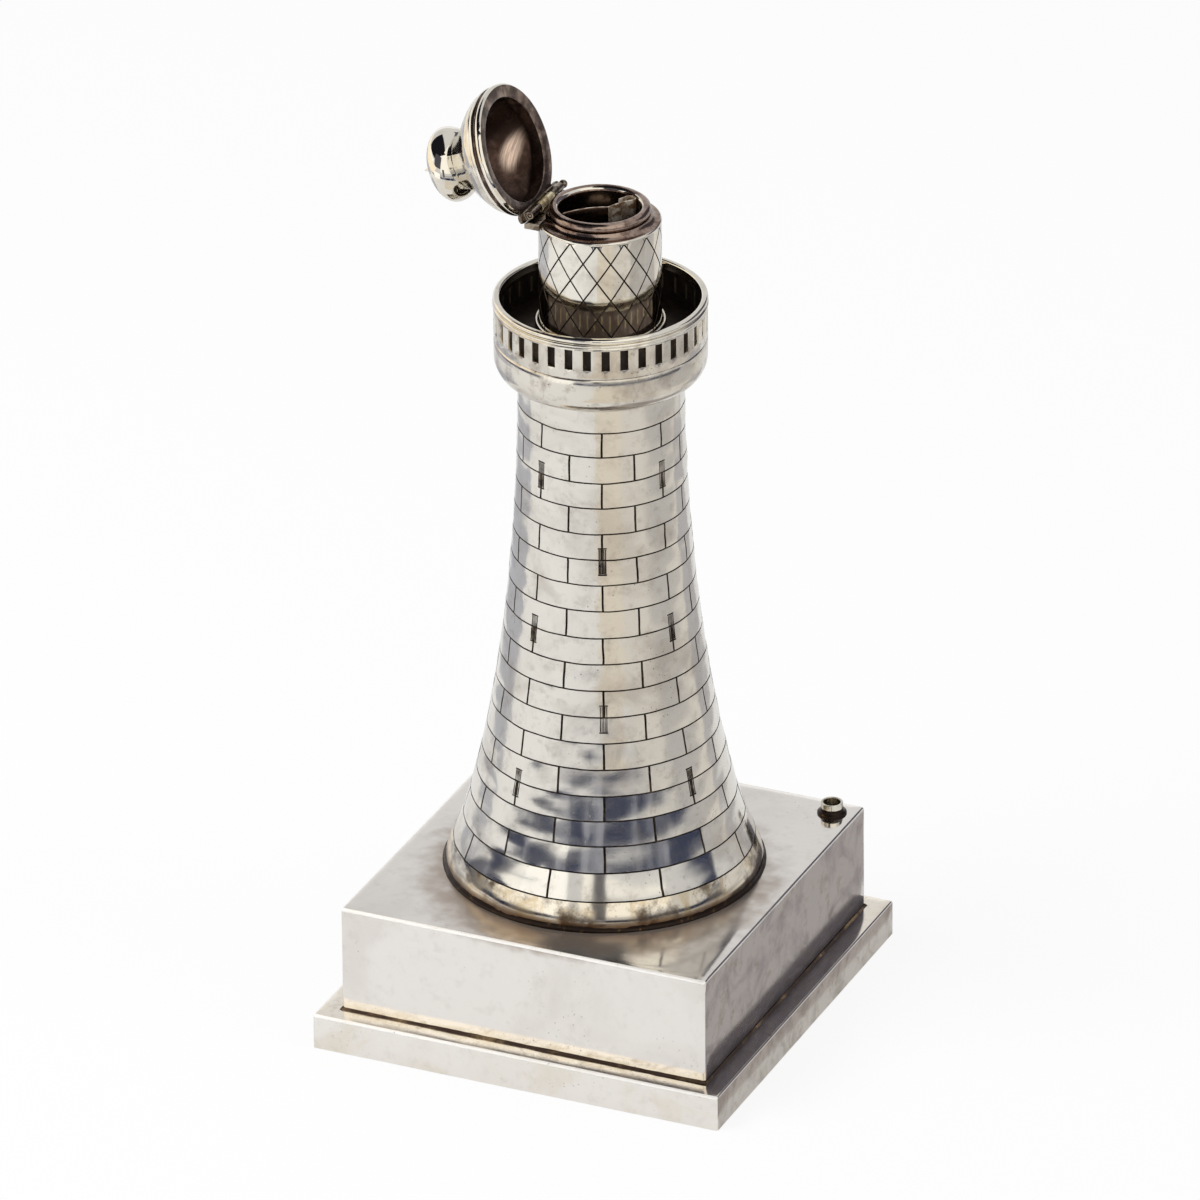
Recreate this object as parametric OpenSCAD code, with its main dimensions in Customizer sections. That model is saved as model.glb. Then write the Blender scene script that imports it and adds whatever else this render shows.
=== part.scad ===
// Table lighter in the form of a lighthouse, in sheet silver.
// A stone-coursed tower stands on a square plinth and carries a pierced gallery.
// The lantern is the lamp: it lifts out of its seat, and its domed roof is a hinged lid.
// Millimetres, +Z up, origin at the centre of the underside of the plinth.
// The lid is drawn open, resting on its stop, as the object is seen.

/* [Base] */
// Width of the foot flange, along X
flange_w = 80; // [76:0.5:90]
// Depth of the foot flange, along Y
flange_d = 82; // [78:0.5:92]
// Height of the foot flange
flange_h = 6.8; // [5:0.2:12]
// Thickness of the flange's sheet
flange_wall = 1.2; // [0.8:0.1:1.8]
// Width of the plinth box, along X
plinth_w = 71.8; // [68:0.2:74]
// Depth of the plinth box, along Y
plinth_d = 73.8; // [69:0.2:76]
// Height of the plinth box
plinth_h = 20.6; // [16:0.2:30]
// Thickness of the plinth's sheet
plinth_wall = 1.0; // [0.7:0.1:1.6]
// Radius left on the corners that were folded and filed
corner_r = 0.5; // [0.3:0.1:1.2]
// Height of the solder fillet round the foot of the plinth
plinth_seam_h = 0.9; // [0.4:0.1:1.4]
// Thickness of the plate that closes the underside
bottom_plate_t = 0.8; // [0.6:0.1:1.5]
// How far that plate is set up from the table
bottom_plate_rise = 0.6; // [0.3:0.1:1.5]

/* [Wand socket] */
// Bore radius of the tube that holds the lighting wand
wand_bore_r = 1.6; // [1.2:0.1:2.0]
// Wall of that tube
wand_wall = 0.45; // [0.3:0.05:0.7]
// How far the tube stands above the plinth
wand_stand = 2.3; // [1.2:0.1:4]
// Depth of the bore, from its mouth
wand_depth = 18; // [12:0.5:20]
// Distance of the tube's axis from the two near faces of the plinth
wand_inset = 4.6; // [4.2:0.1:6]
// Radius of the washer soldered round the tube
wand_washer_r = 2.75; // [2.7:0.05:3.4]
// Thickness of that washer
wand_washer_t = 0.45; // [0.3:0.05:0.8]

/* [Tower] */
// Height of the tower, from the plinth to the underside of the gallery cup
tower_h = 97.8; // [85:0.2:110]
// Radius at the top of the plain foot band
foot_r = 27.35; // [26:0.05:29]
// Height of the plain foot band
foot_band_h = 5.6; // [4:0.1:7]
// How far the foot band bellies out past its top edge
foot_belly = 1.75; // [1:0.05:2]
// Radius of the tower just under the gallery
tower_top_r = 15; // [14:0.1:16]
// Reach inwards of the sweep as it leaves the foot band
sweep_in = 3.5; // [2:0.1:5]
// Rise of the sweep as it leaves the foot band
sweep_rise = 7.2; // [3:0.1:10]
// Length over which the sweep runs out into the straight top
sweep_top = 50.2; // [40:0.1:60]
// Thickness of the tower's sheet
tower_wall = 0.9; // [0.6:0.1:1.4]
// Reach of the solder seam round the tower's foot
tower_seam_w = 0.9; // [0.5:0.1:1.4]

/* [Gallery] */
// Outer radius of the gallery
gallery_r = 19.15; // [18.6:0.05:21]
// Radius of the cup's rounded underside
cup_round = 4.2; // [3:0.1:4.4]
// Height from the tower to the gallery deck
cup_h = 7.7; // [7.2:0.1:10]
// Thickness of the cup and of the pierced band
gallery_wall = 0.9; // [0.7:0.05:1.2]
// Height of the pierced band
band_h = 6.3; // [6:0.1:9]
// Number of slots round the pierced band
slot_count = 36; // [18:1:44]
// Turn of the first slot about the tower's axis, in degrees
slot_turn = 6.5; // [0:0.5:10]
// Width of a slot
slot_w = 1.4; // [0.8:0.1:1.5]
// Height of a slot
slot_h = 3.8; // [2.5:0.1:4]
// Solid strip below the slots
slot_base = 1.9; // [1.2:0.1:2.2]
// Height of the hand rail on the band
rail_h = 1.7; // [1.2:0.1:2.4]
// How far the rail stands in from the band's inner face
rail_in = 0.25; // [0.1:0.05:0.6]
// Radius of the fine bead turned on the foot of the rail
bead_r = 0.3; // [0.2:0.05:0.4]
// Depth of the grooves turned where the band meets the cup and the rail
joint_groove = 0.2; // [0.1:0.05:0.3]
// Thickness of the deck plate
deck_t = 0.8; // [0.6:0.1:1.1]

/* [Lantern] */
// Outer radius of the lantern drum
drum_r = 11.05; // [10.5:0.05:11.6]
// Height of the drum, from its own floor to the shoulder
drum_h = 27.6; // [24:0.2:32]
// Thickness of the drum's sheet
drum_wall = 0.7; // [0.5:0.1:1]
// Thickness of the drum's floor
floor_t = 0.8; // [0.6:0.1:1.2]
// Radial clearance between the drum and its seat
seat_clear = 0.1; // [0.05:0.01:0.1]
// Wall of the seat
seat_wall = 0.65; // [0.5:0.05:1]
// How far the seat stands above the deck
seat_stand = 2.7; // [1.8:0.1:3.4]
// Depth of the seat below the top of the deck, to the face the lantern rests on
seat_depth = 5.9; // [4.5:0.1:6.4]
// Width of the ledge inside the seat that carries the lantern
seat_ledge = 2; // [1.2:0.1:3]
// Height of the coved shoulder
shoulder_h = 1.5; // [1.1:0.1:2]
// Inner radius of the neck
neck_r = 7.3; // [6.8:0.05:7.6]
// Wall of the neck tube
neck_wall = 0.5; // [0.4:0.05:0.8]
// Bead radius of the neck's rolled rim
neck_bead_r = 0.95; // [0.8:0.05:1.1]
// Depth of the neck tube below the top of its bead
neck_depth = 7.6; // [6.5:0.1:9]

/* [Lamp] */
// Clearance between the spirit reservoir and the drum
font_clear = 0.4; // [0.3:0.05:0.8]
// Wall of the reservoir
font_wall = 0.5; // [0.4:0.05:0.8]
// Height of the reservoir
font_h = 20.4; // [16:0.2:20.6]
// Outer radius of the wick tube
wick_tube_r = 2.2; // [1.8:0.1:2.6]
// Wall of the wick tube
wick_tube_wall = 0.35; // [0.3:0.05:0.5]
// How far the wick tube stands above the reservoir
wick_tube_stand = 3.4; // [2.4:0.1:4]
// How far the wick stands above its tube
wick_stand = 0.7; // [0.4:0.1:1]
// Height of the sprung strip inside the neck
clip_h = 3.4; // [2.5:0.1:4]
// Thickness of that strip
clip_t = 0.3; // [0.25:0.05:0.45]
// Depth of the strip's top edge below the rim of the neck
clip_drop = 0.4; // [0.2:0.1:1]
// Turn of the strip about the lantern's axis, in degrees
clip_turn = 24; // [0:1:90]

/* [Hinge] */
// Distance of the hinge axis outside the lantern's axis
hinge_out = 10.6; // [10.5:0.05:10.9]
// Depth of the hinge axis below the plane of the lid's closed mouth
hinge_drop = 1.6; // [1.4:0.05:1.9]
// Outer radius of the hinge barrel
barrel_r = 0.75; // [0.65:0.05:0.8]
// Radius of the hinge pin
pin_r = 0.35; // [0.25:0.05:0.4]
// Radial running clearance of the pin
pin_clear = 0.05; // [0.02:0.01:0.1]
// Length of the middle knuckle
mid_knuckle_l = 5.4; // [4:0.1:6.5]
// Length of each outer knuckle
end_knuckle_l = 4.1; // [3:0.1:5]
// End clearance between knuckles
knuckle_gap = 0.1; // [0.05:0.01:0.2]
// Radius of the ball that heads the pin
pin_ball_r = 0.8; // [0.6:0.05:0.9]
// Half length of the straight leaf under the lid's rim
leaf_half = 8.4; // [7.6:0.1:9]
// Width of that leaf
leaf_w = 1.8; // [1.2:0.1:2]
// Clearance between the leaf and its stop, with the lid open
stop_gap = 0.1; // [0.05:0.01:0.2]
// Half length of the bracket under the barrel
bracket_half = 7.6; // [6:0.1:8]
// Angle by which the lid opens from closed, in degrees
open_angle = 112.5; // [95:0.5:114]

/* [Lid] */
// Outer radius of the lid's rim
rim_r = 12.05; // [11.8:0.05:12.1]
// Radius of the lid's mouth
mouth_r = 9.5; // [9.2:0.05:9.8]
// Height of the plain lip at the mouth
lip_h = 1.3; // [1:0.1:1.6]
// Height of the bead above the lip
rim_bead_h = 1.6; // [1.2:0.1:2]
// Radius where the dome rises from the rim
dome_r = 11.2; // [10.8:0.05:11.4]
// Height of the dome, from the rim to the throat under the ball
dome_h = 7.6; // [6:0.1:9]
// Radius of that throat
throat_r = 5.05; // [4.6:0.05:6]
// Thickness of the dome
dome_wall = 0.8; // [0.6:0.1:1]
// Clearance between the closed mouth and the neck's bead
lid_clear = 0.25; // [0.15:0.05:0.4]

/* [Finial] */
// Radius of the flattened ball
ball_r = 6.85; // [6.6:0.05:7.5]
// Height of the ball's lower part, from the throat to its widest
ball_low = 3.2; // [2.6:0.1:4]
// Height of the ball's upper part
ball_high = 3.1; // [2.6:0.1:5]
// Wall of the ball
ball_wall = 0.7; // [0.5:0.1:1]
// Length of the spike that stands on the ball
spike_l = 2.7; // [0.8:0.1:4]
// Radius of the spike at its foot
spike_r = 0.55; // [0.4:0.05:0.9]

/* [Hidden] */

silver = [0.86, 0.84, 0.79];
bright_silver = [0.92, 0.91, 0.88];
dark_seam = [0.25, 0.19, 0.13];
tarnish = [0.45, 0.38, 0.32];
lid_inside = [0.30, 0.26, 0.24];
tin = [0.55, 0.55, 0.54];
cotton = [0.88, 0.85, 0.78];

round_fn = 96;
small_fn = 48;
// Steps in a curve that is computed point by point
curve_steps = 40;
arc_steps = 10;
// Overshoot of a cutting solid
cut = 1;
// Gap under the reservoir, where it stands on its rolled foot
font_foot = 0.3;
// Clearance round the wick, and round the packing in the reservoir
wick_clear = 0.1;
// Free space above and below the packing
packing_gap = 1;
// Depth of the wick tube below the reservoir's top
wick_tube_depth = 2;

// Heights, each built on the one below
plinth_z = flange_h;
tower_z = plinth_z + plinth_h;
cup_z = tower_z + tower_h;
band_z = cup_z + cup_h;
deck_top_z = band_z + deck_t;
rail_z = band_z + band_h;
rest_z = deck_top_z - seat_depth;
drum_z = rest_z + floor_t;
shoulder_z = drum_z + drum_h - floor_t;
neck_z = shoulder_z + shoulder_h + neck_bead_r * 0.8;
neck_top_z = neck_z + neck_bead_r;
mouth_z = neck_top_z + lid_clear;
hinge_z = mouth_z - hinge_drop;
font_z = drum_z + font_foot;
font_top_z = font_z + font_h;

flange_ledge_t = flange_wall;
plinth_opening_lip = 2;
band_in_r = gallery_r - gallery_wall;
deck_r = gallery_r - gallery_wall / 2;
seat_in_r = drum_r + seat_clear;
seat_out_r = seat_in_r + seat_wall;
font_r = drum_r - drum_wall - font_clear;
neck_out_r = neck_r + neck_wall;
neck_mid_r = neck_r + neck_bead_r;
shoulder_in_r = neck_mid_r + neck_bead_r;
knuckle_y = mid_knuckle_l / 2 + knuckle_gap;
pin_ball_y = knuckle_y + end_knuckle_l + knuckle_gap + pin_ball_r;

// Profile helpers: points are [radius, height]
function bezier(a, b, c, d, n) = [for (i = [0:n]) let (t = i / n, s = 1 - t)
    s * s * s * a + 3 * s * s * t * b + 3 * s * t * t * c + t * t * t * d];
function arc(centre, r, from, to, n) = [for (i = [0:n]) let (a = from + (to - from) * i / n)
    centre + r * [cos(a), sin(a)]];
function ellipse_arc(centre, rx, ry, from, to, n) = [for (i = [0:n])
    let (a = from + (to - from) * i / n) centre + [rx * cos(a), ry * sin(a)]];
function reversed(list) = [for (i = [len(list) - 1:-1:0]) list[i]];
function moved(list, by) = [for (p = list) p + by];
function path_side(path, off) = [for (i = [0:len(path) - 1])
    let (a = path[max(i - 1, 0)], b = path[min(i + 1, len(path) - 1)], d = b - a)
    path[i] + off * [-d[1], d[0]] / norm(d)];

module turned(points, fn = round_fn) {
    rotate_extrude($fn = fn) polygon(points);
}

module ring(r_in, r_out, z_low, z_high) {
    translate([0, 0, z_low]) difference() {
        cylinder(r = r_out, h = z_high - z_low, $fn = round_fn);
        translate([0, 0, -cut]) cylinder(r = r_in, h = z_high - z_low + 2 * cut, $fn = round_fn);
    }
}

// A block on its own base plane, with its four upright corners rounded
module rounded_block(w, d, h, r) {
    linear_extrude(h) {
        square([w - 2 * r, d], center = true);
        square([w, d - 2 * r], center = true);
        for (x = [-1, 1], y = [-1, 1])
            translate([x * (w / 2 - r), y * (d / 2 - r)]) circle(r = r, $fn = 24);
    }
}

// Base

module base_flange() {
    color(silver) difference() {
        rounded_block(flange_w, flange_d, flange_h, corner_r);
        translate([0, 0, -cut]) rounded_block(flange_w - 2 * flange_wall,
            flange_d - 2 * flange_wall, flange_h - flange_ledge_t + cut, corner_r);
        rounded_block(plinth_w - 2 * (plinth_wall + plinth_opening_lip),
            plinth_d - 2 * (plinth_wall + plinth_opening_lip), flange_h + cut, corner_r);
    }
}

module bottom_plate() {
    color(tarnish) translate([0, 0, bottom_plate_rise])
        rounded_block(flange_w - 2 * flange_wall, flange_d - 2 * flange_wall,
            bottom_plate_t, corner_r);
}

module plinth_box() {
    color(silver) difference() {
        translate([0, 0, plinth_z]) rounded_block(plinth_w, plinth_d, plinth_h, corner_r);
        translate([0, 0, plinth_z - cut]) rounded_block(plinth_w - 2 * plinth_wall,
            plinth_d - 2 * plinth_wall, plinth_h - plinth_wall + cut, corner_r);
        wand_place() cylinder(r = wand_bore_r + wand_wall, h = 2 * plinth_wall + 2 * cut,
            center = true, $fn = small_fn);
    }
}

// The fillet of solder in the corner between the flange and the plinth, with thin edges
seam_edge = 0.1;

module plinth_seam() {
    color(dark_seam) difference() {
        translate([0, 0, plinth_z]) hull() {
            rounded_block(plinth_w + 2 * plinth_seam_h, plinth_d + 2 * plinth_seam_h, seam_edge,
                corner_r);
            rounded_block(plinth_w + 2 * seam_edge, plinth_d + 2 * seam_edge, plinth_seam_h, corner_r);
        }
        translate([0, 0, plinth_z - cut])
            rounded_block(plinth_w, plinth_d, plinth_seam_h + 2 * cut, corner_r);
    }
}

// Wand socket

module wand_place() {
    translate([plinth_w / 2 - wand_inset, plinth_d / 2 - wand_inset, tower_z]) children();
}

module wand_tube() {
    color(silver) wand_place() translate([0, 0, wand_stand - wand_depth - wand_wall]) difference() {
        cylinder(r = wand_bore_r + wand_wall, h = wand_depth + wand_wall, $fn = small_fn);
        translate([0, 0, wand_wall]) cylinder(r = wand_bore_r, h = wand_depth + cut, $fn = small_fn);
    }
}

module wand_washer() {
    color(dark_seam) wand_place() difference() {
        cylinder(r1 = wand_washer_r, r2 = wand_washer_r - wand_washer_t / 2, h = wand_washer_t,
            $fn = small_fn);
        translate([0, 0, -cut]) cylinder(r = wand_bore_r + wand_wall, h = wand_washer_t + 2 * cut,
            $fn = small_fn);
    }
}

// Tower

sweep_start = [foot_r, foot_band_h];
sweep_end = [tower_top_r, tower_h];
tower_sweep = bezier(sweep_start, sweep_start + [-sweep_in, sweep_rise],
    sweep_end - [0, sweep_top], sweep_end, curve_steps);
foot_band = bezier([foot_r + foot_belly * 0.8, 0], [foot_r + foot_belly * 1.15, foot_band_h * 0.3],
    [foot_r + foot_belly * 0.45, foot_band_h * 0.6], sweep_start, arc_steps);
tower_outline = concat(foot_band, [for (i = [1:curve_steps]) tower_sweep[i]]);

module tower_shell() {
    color(silver) translate([0, 0, tower_z])
        turned(concat(tower_outline, reversed(moved(tower_outline, [-tower_wall, 0]))));
}

// A hollow fillet of solder, fitted to the first two steps of the foot band
module tower_seam() {
    seam_toe = tower_outline[0] + [tower_seam_w, seam_edge];
    seam_top = tower_outline[2];
    color(dark_seam) translate([0, 0, tower_z]) turned(concat(
        [tower_outline[1], tower_outline[0], tower_outline[0] + [tower_seam_w, 0]],
        bezier(seam_toe, seam_toe - [tower_seam_w * 0.6, 0],
            seam_top + [seam_edge, -tower_seam_w / 2], seam_top, arc_steps)));
}

// Gallery

cup_mid = [gallery_r - cup_round, cup_z + cup_round];

module gallery_cup() {
    color(silver) turned(concat(
        [[tower_top_r - tower_wall, cup_z]],
        arc(cup_mid, cup_round, -90, 0, arc_steps),
        [[gallery_r, band_z - joint_groove], [gallery_r - joint_groove, band_z], [band_in_r, band_z]],
        arc(cup_mid, cup_round - gallery_wall, 0, -90, arc_steps),
        [[tower_top_r - tower_wall, cup_z + gallery_wall]]));
}

module gallery_band() {
    color(silver) difference() {
        turned([[band_in_r, band_z], [gallery_r - joint_groove, band_z],
            [gallery_r, band_z + joint_groove], [gallery_r, rail_z - joint_groove],
            [gallery_r - joint_groove, rail_z], [band_in_r, rail_z]]);
        translate([0, 0, band_z - cut]) cylinder(r = deck_r, h = deck_t + cut, $fn = round_fn);
        for (i = [0:slot_count - 1])
            rotate([0, 0, slot_turn + i * 360 / slot_count])
                translate([band_in_r - cut, -slot_w / 2, band_z + slot_base])
                    cube([gallery_wall + 2 * cut, slot_w, slot_h]);
    }
}

module gallery_rail() {
    rail_in_r = band_in_r - rail_in;
    color(bright_silver) turned(concat(
        [[rail_in_r, rail_z], [gallery_r - joint_groove, rail_z]],
        arc([gallery_r - bead_r / 2, rail_z + bead_r], bead_r, -60, 60, arc_steps),
        [[gallery_r - bead_r / 2, rail_z + 2 * bead_r]],
        arc([gallery_r - rail_h / 4, rail_z + rail_h * 0.7], rail_h * 0.3, 0, 90, arc_steps),
        arc([rail_in_r + rail_h / 4, rail_z + rail_h * 0.75], rail_h * 0.25, 90, 180, arc_steps)));
}

module gallery_deck() {
    color(tarnish) ring(seat_out_r, deck_r, band_z, deck_top_z);
}

module lantern_seat() {
    color(bright_silver) turned(concat(
        [[seat_in_r - seat_ledge, rest_z - seat_wall], [seat_out_r, rest_z - seat_wall]],
        [[seat_out_r, deck_top_z + seat_stand - seat_wall / 2]],
        arc([seat_out_r - seat_wall / 2, deck_top_z + seat_stand - seat_wall / 2],
            seat_wall / 2, 15, 165, arc_steps),
        [[seat_in_r, deck_top_z + seat_stand - seat_wall / 2], [seat_in_r, rest_z],
            [seat_in_r - seat_ledge, rest_z]]));
}

// Lantern

module lantern_floor() {
    color(tarnish) translate([0, 0, rest_z]) cylinder(r = drum_r, h = floor_t, $fn = round_fn);
}

module lantern_drum() {
    color(silver) ring(drum_r - drum_wall, drum_r, drum_z, shoulder_z);
}

// Rounded edge at the drum, then a cove that sweeps up to the foot of the neck's bead
shoulder_edge = 0.4;
shoulder_lip = 0.15;
shoulder_outline = concat(
    arc([drum_r - shoulder_edge, shoulder_z + shoulder_lip], shoulder_edge, 0, 75, arc_steps),
    bezier([drum_r - shoulder_edge, shoulder_z + shoulder_lip + shoulder_edge],
        [shoulder_in_r + shoulder_h * 0.4, shoulder_z + shoulder_h * 0.4],
        [shoulder_in_r + shoulder_h * 0.13, shoulder_z + shoulder_h * 0.6],
        [shoulder_in_r, shoulder_z + shoulder_h], arc_steps));

module lantern_shoulder() {
    color(tarnish) turned(concat(
        [[drum_r, shoulder_z]],
        shoulder_outline,
        [[neck_out_r, shoulder_z + shoulder_h], [neck_out_r, shoulder_z]]));
}

module lantern_neck() {
    color(tarnish) {
        rotate_extrude($fn = round_fn) difference() {
            union() {
                translate([neck_mid_r, neck_z]) circle(r = neck_bead_r, $fn = 32);
                translate([neck_r, neck_top_z - neck_depth])
                    square([neck_wall, neck_depth - neck_bead_r]);
            }
            translate([neck_out_r, shoulder_z - cut])
                square([2 * neck_bead_r, shoulder_h + cut]);
        }
    }
}

// Lamp inside the lantern

module font_can() {
    color(tin) translate([0, 0, font_z]) difference() {
        cylinder(r = font_r, h = font_h, $fn = round_fn);
        translate([0, 0, font_wall]) cylinder(r = font_r - font_wall, h = font_h, $fn = round_fn);
    }
}

module font_top() {
    color(tin) ring(wick_tube_r, font_r, font_top_z, font_top_z + font_wall);
}

module wick_tube() {
    color(silver) ring(wick_tube_r - wick_tube_wall, wick_tube_r,
        font_top_z - wick_tube_depth, font_top_z + wick_tube_stand);
}

module wick() {
    wick_r = wick_tube_r - wick_tube_wall - wick_clear;
    wick_low = font_z + font_wall + packing_gap;
    color(cotton) translate([0, 0, wick_low])
        cylinder(r = wick_r, h = font_top_z + wick_tube_stand + wick_stand - wick_low,
            $fn = small_fn);
}

module font_packing() {
    color(cotton) ring(wick_tube_r + wick_clear, font_r - font_wall - wick_clear,
        font_z + font_wall, font_top_z - packing_gap);
}

// The strip's path in plan: from the neck's wall across to a hooked end
clip_path = concat(
    bezier([-neck_r * 0.9, -neck_r * 0.4], [-neck_r * 0.55, -neck_r * 0.16],
        [-neck_r * 0.2, -neck_r * 0.03], [neck_r * 0.2, -neck_r * 0.05], arc_steps),
    bezier([neck_r * 0.32, neck_r * 0.05], [neck_r * 0.45, neck_r * 0.16],
        [neck_r * 0.6, neck_r * 0.28], [neck_r * 0.74, neck_r * 0.32], 5),
    arc([neck_r * 0.74, neck_r * 0.455], neck_r * 0.135, -60, 150, arc_steps),
    [[neck_r * 0.47, neck_r * 0.4]]);

module wick_clip() {
    color(bright_silver) rotate([0, 0, clip_turn])
        translate([0, 0, neck_top_z - clip_drop - clip_h]) linear_extrude(clip_h)
            intersection() {
                polygon(concat(path_side(clip_path, clip_t / 2),
                    reversed(path_side(clip_path, -clip_t / 2))));
                circle(r = neck_r, $fn = round_fn);
            }
}

// Hinge

module hinge_place() {
    translate([-hinge_out, 0, hinge_z]) children();
}

module barrel(length) {
    rotate([90, 0, 0]) cylinder(r = barrel_r, h = length, center = true, $fn = small_fn);
}

module pin_bore(length) {
    rotate([90, 0, 0]) cylinder(r = pin_r + pin_clear, h = length, center = true, $fn = small_fn);
}

// The lantern's outside, as a solid that the bracket is fitted over
module lantern_outside() {
    turned(concat([[0, drum_z], [drum_r, drum_z], [drum_r, shoulder_z]],
        shoulder_outline, [[shoulder_in_r, neck_z], [0, neck_z]]));
}

bracket_t = 1.3;
// How far the bracket reaches in from the hinge axis, under the neck
bracket_in = 2.2;
swing_clear = 0.25;

module hinge_bracket() {
    top = -barrel_r - swing_clear;
    lean = tan(open_angle - 90);
    stop_z = -(leaf_w / 2 + stop_gap) / cos(open_angle - 90);
    // The web under the middle knuckle stands square to the stop, inside the leaf's swing
    web_l = leaf_w / 2 + bracket_t * 0.8;
    color(tarnish) difference() {
        hinge_place() {
            barrel(mid_knuckle_l);
            rotate([0, -open_angle, 0]) translate([-web_l, -mid_knuckle_l / 2, -barrel_r])
                cube([web_l, mid_knuckle_l, 2 * barrel_r]);
            rotate([90, 0, 0]) linear_extrude(2 * bracket_half, center = true)
                polygon([[-barrel_r, top - bracket_t], [bracket_in, top - bracket_t],
                    [bracket_in, top], [(top - stop_z) / lean, top],
                    [-barrel_r, stop_z - barrel_r * lean]]);
        }
        lantern_outside();
        hinge_place() pin_bore(mid_knuckle_l + cut);
    }
}

module hinge_pin() {
    front_y = -knuckle_y - end_knuckle_l;
    color(silver) hinge_place() {
        translate([0, front_y, 0]) rotate([-90, 0, 0])
            cylinder(r = pin_r, h = pin_ball_y - front_y, $fn = small_fn);
        translate([0, pin_ball_y, 0]) sphere(r = pin_ball_r, $fn = 32);
    }
}

// Lid: drawn closed over the neck, then swung open about the hinge

module swung_open() {
    hinge_place() rotate([0, -open_angle, 0]) translate([hinge_out, 0, -hinge_z]) children();
}

dome_z = mouth_z + lip_h + rim_bead_h;
throat_z = dome_z + dome_h;
ball_z = throat_z + ball_low;

mouth_chamfer = 0.4;
rim_chamfer = 0.35;

module lid_rim() {
    bead = rim_bead_h / 2;
    color(bright_silver) swung_open() turned(concat(
        [[mouth_r, mouth_z], [rim_r - rim_chamfer, mouth_z]],
        arc([rim_r - lip_h / 2, mouth_z + lip_h / 2], lip_h / 2, -40, 40, arc_steps),
        [[rim_r - lip_h / 2, mouth_z + lip_h]],
        arc([dome_r - bead * 0.3, mouth_z + lip_h + bead], bead, -70, 70, arc_steps),
        [[dome_r, dome_z], [mouth_r + mouth_chamfer, dome_z], [mouth_r, dome_z - mouth_chamfer]]));
}

// Full at the rim, then drawn in to the throat
dome_swell = 0.3;
throat_flare = 1.3;
dome_outline = bezier([dome_r, dome_z], [dome_r + dome_swell, dome_z + dome_h * 0.22],
    [throat_r + throat_flare, dome_z + dome_h * 0.67], [throat_r, throat_z], curve_steps / 2);

module lid_dome() {
    inside_top = throat_z - dome_wall;
    inside = concat(
        [[dome_r - dome_wall, dome_z]],
        [for (p = path_side(dome_outline, dome_wall)) if (p[1] < inside_top) p],
        [[0, inside_top]]);
    color(lid_inside) swung_open() turned(concat(dome_outline, [[0, throat_z]], reversed(inside)));
}

module finial_ball() {
    low_from = acos(throat_r / ball_r);
    low_scale = ball_low / sin(low_from);
    outer = concat(
        ellipse_arc([0, ball_z], ball_r, low_scale, -low_from, 0, arc_steps),
        ellipse_arc([0, ball_z], ball_r, ball_high, 6, 90, curve_steps / 2));
    color(bright_silver) swung_open() difference() {
        turned(concat([[0, throat_z]], outer));
        translate([0, 0, ball_z]) sphere(r = min(ball_low, ball_high) - ball_wall, $fn = 32);
        spike_place() cylinder(r = spike_r, h = cut, $fn = small_fn);
    }
}

// How far the spike's foot is let into the ball
spike_sink = 0.05;

module spike_place() {
    translate([0, 0, ball_z + ball_high - spike_sink]) children();
}

module finial_spike() {
    color(silver) swung_open() spike_place()
        cylinder(r1 = spike_r, r2 = spike_r * 0.35, h = spike_l, $fn = small_fn);
}

// A straight leaf under the rim, its rounded ends standing out past the rim as ears.
// Two lugs on it carry the outer knuckles.
module lid_hinge_lugs() {
    leaf_low = pin_ball_r + swing_clear / 2;
    color(tarnish) swung_open() hinge_place() difference() {
        union() {
            for (side = [-1, 1]) translate([0, side * (knuckle_y + end_knuckle_l / 2), 0]) {
                barrel(end_knuckle_l);
                translate([-barrel_r, -end_knuckle_l / 2, 0])
                    cube([2 * barrel_r, end_knuckle_l, hinge_drop]);
            }
            translate([0, 0, leaf_low]) linear_extrude(hinge_drop - leaf_low) {
                square([leaf_w, 2 * leaf_half - leaf_w], center = true);
                for (side = [-1, 1]) translate([0, side * (leaf_half - leaf_w / 2)])
                    circle(r = leaf_w / 2, $fn = small_fn);
            }
        }
        pin_bore(4 * end_knuckle_l + 2 * mid_knuckle_l);
    }
}

base_flange();
bottom_plate();
plinth_box();
plinth_seam();
wand_tube();
wand_washer();
tower_shell();
tower_seam();
gallery_cup();
gallery_band();
gallery_rail();
gallery_deck();
lantern_seat();
lantern_floor();
lantern_drum();
lantern_shoulder();
lantern_neck();
hinge_bracket();
hinge_pin();
font_can();
font_top();
wick_tube();
wick();
font_packing();
wick_clip();
lid_rim();
lid_dome();
lid_hinge_lugs();
finial_ball();
finial_spike();
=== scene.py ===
import math
import bpy
import bmesh
from mathutils import Matrix, Vector


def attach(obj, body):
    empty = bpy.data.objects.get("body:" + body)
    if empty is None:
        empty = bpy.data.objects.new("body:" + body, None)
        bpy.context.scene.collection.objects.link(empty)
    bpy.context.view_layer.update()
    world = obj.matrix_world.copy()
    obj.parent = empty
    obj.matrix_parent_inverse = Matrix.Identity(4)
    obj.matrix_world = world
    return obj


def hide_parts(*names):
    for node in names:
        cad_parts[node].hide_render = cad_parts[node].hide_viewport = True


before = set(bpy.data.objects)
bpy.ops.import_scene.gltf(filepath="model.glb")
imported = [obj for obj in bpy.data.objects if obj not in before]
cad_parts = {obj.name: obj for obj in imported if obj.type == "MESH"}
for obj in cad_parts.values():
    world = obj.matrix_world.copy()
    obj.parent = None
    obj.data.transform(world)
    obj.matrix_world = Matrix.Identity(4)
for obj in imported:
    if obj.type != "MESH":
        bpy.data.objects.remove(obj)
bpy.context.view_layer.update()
mm = 0.001
viewerTurn = math.radians(-66)  # the side of the tower that faces the camera
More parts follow.
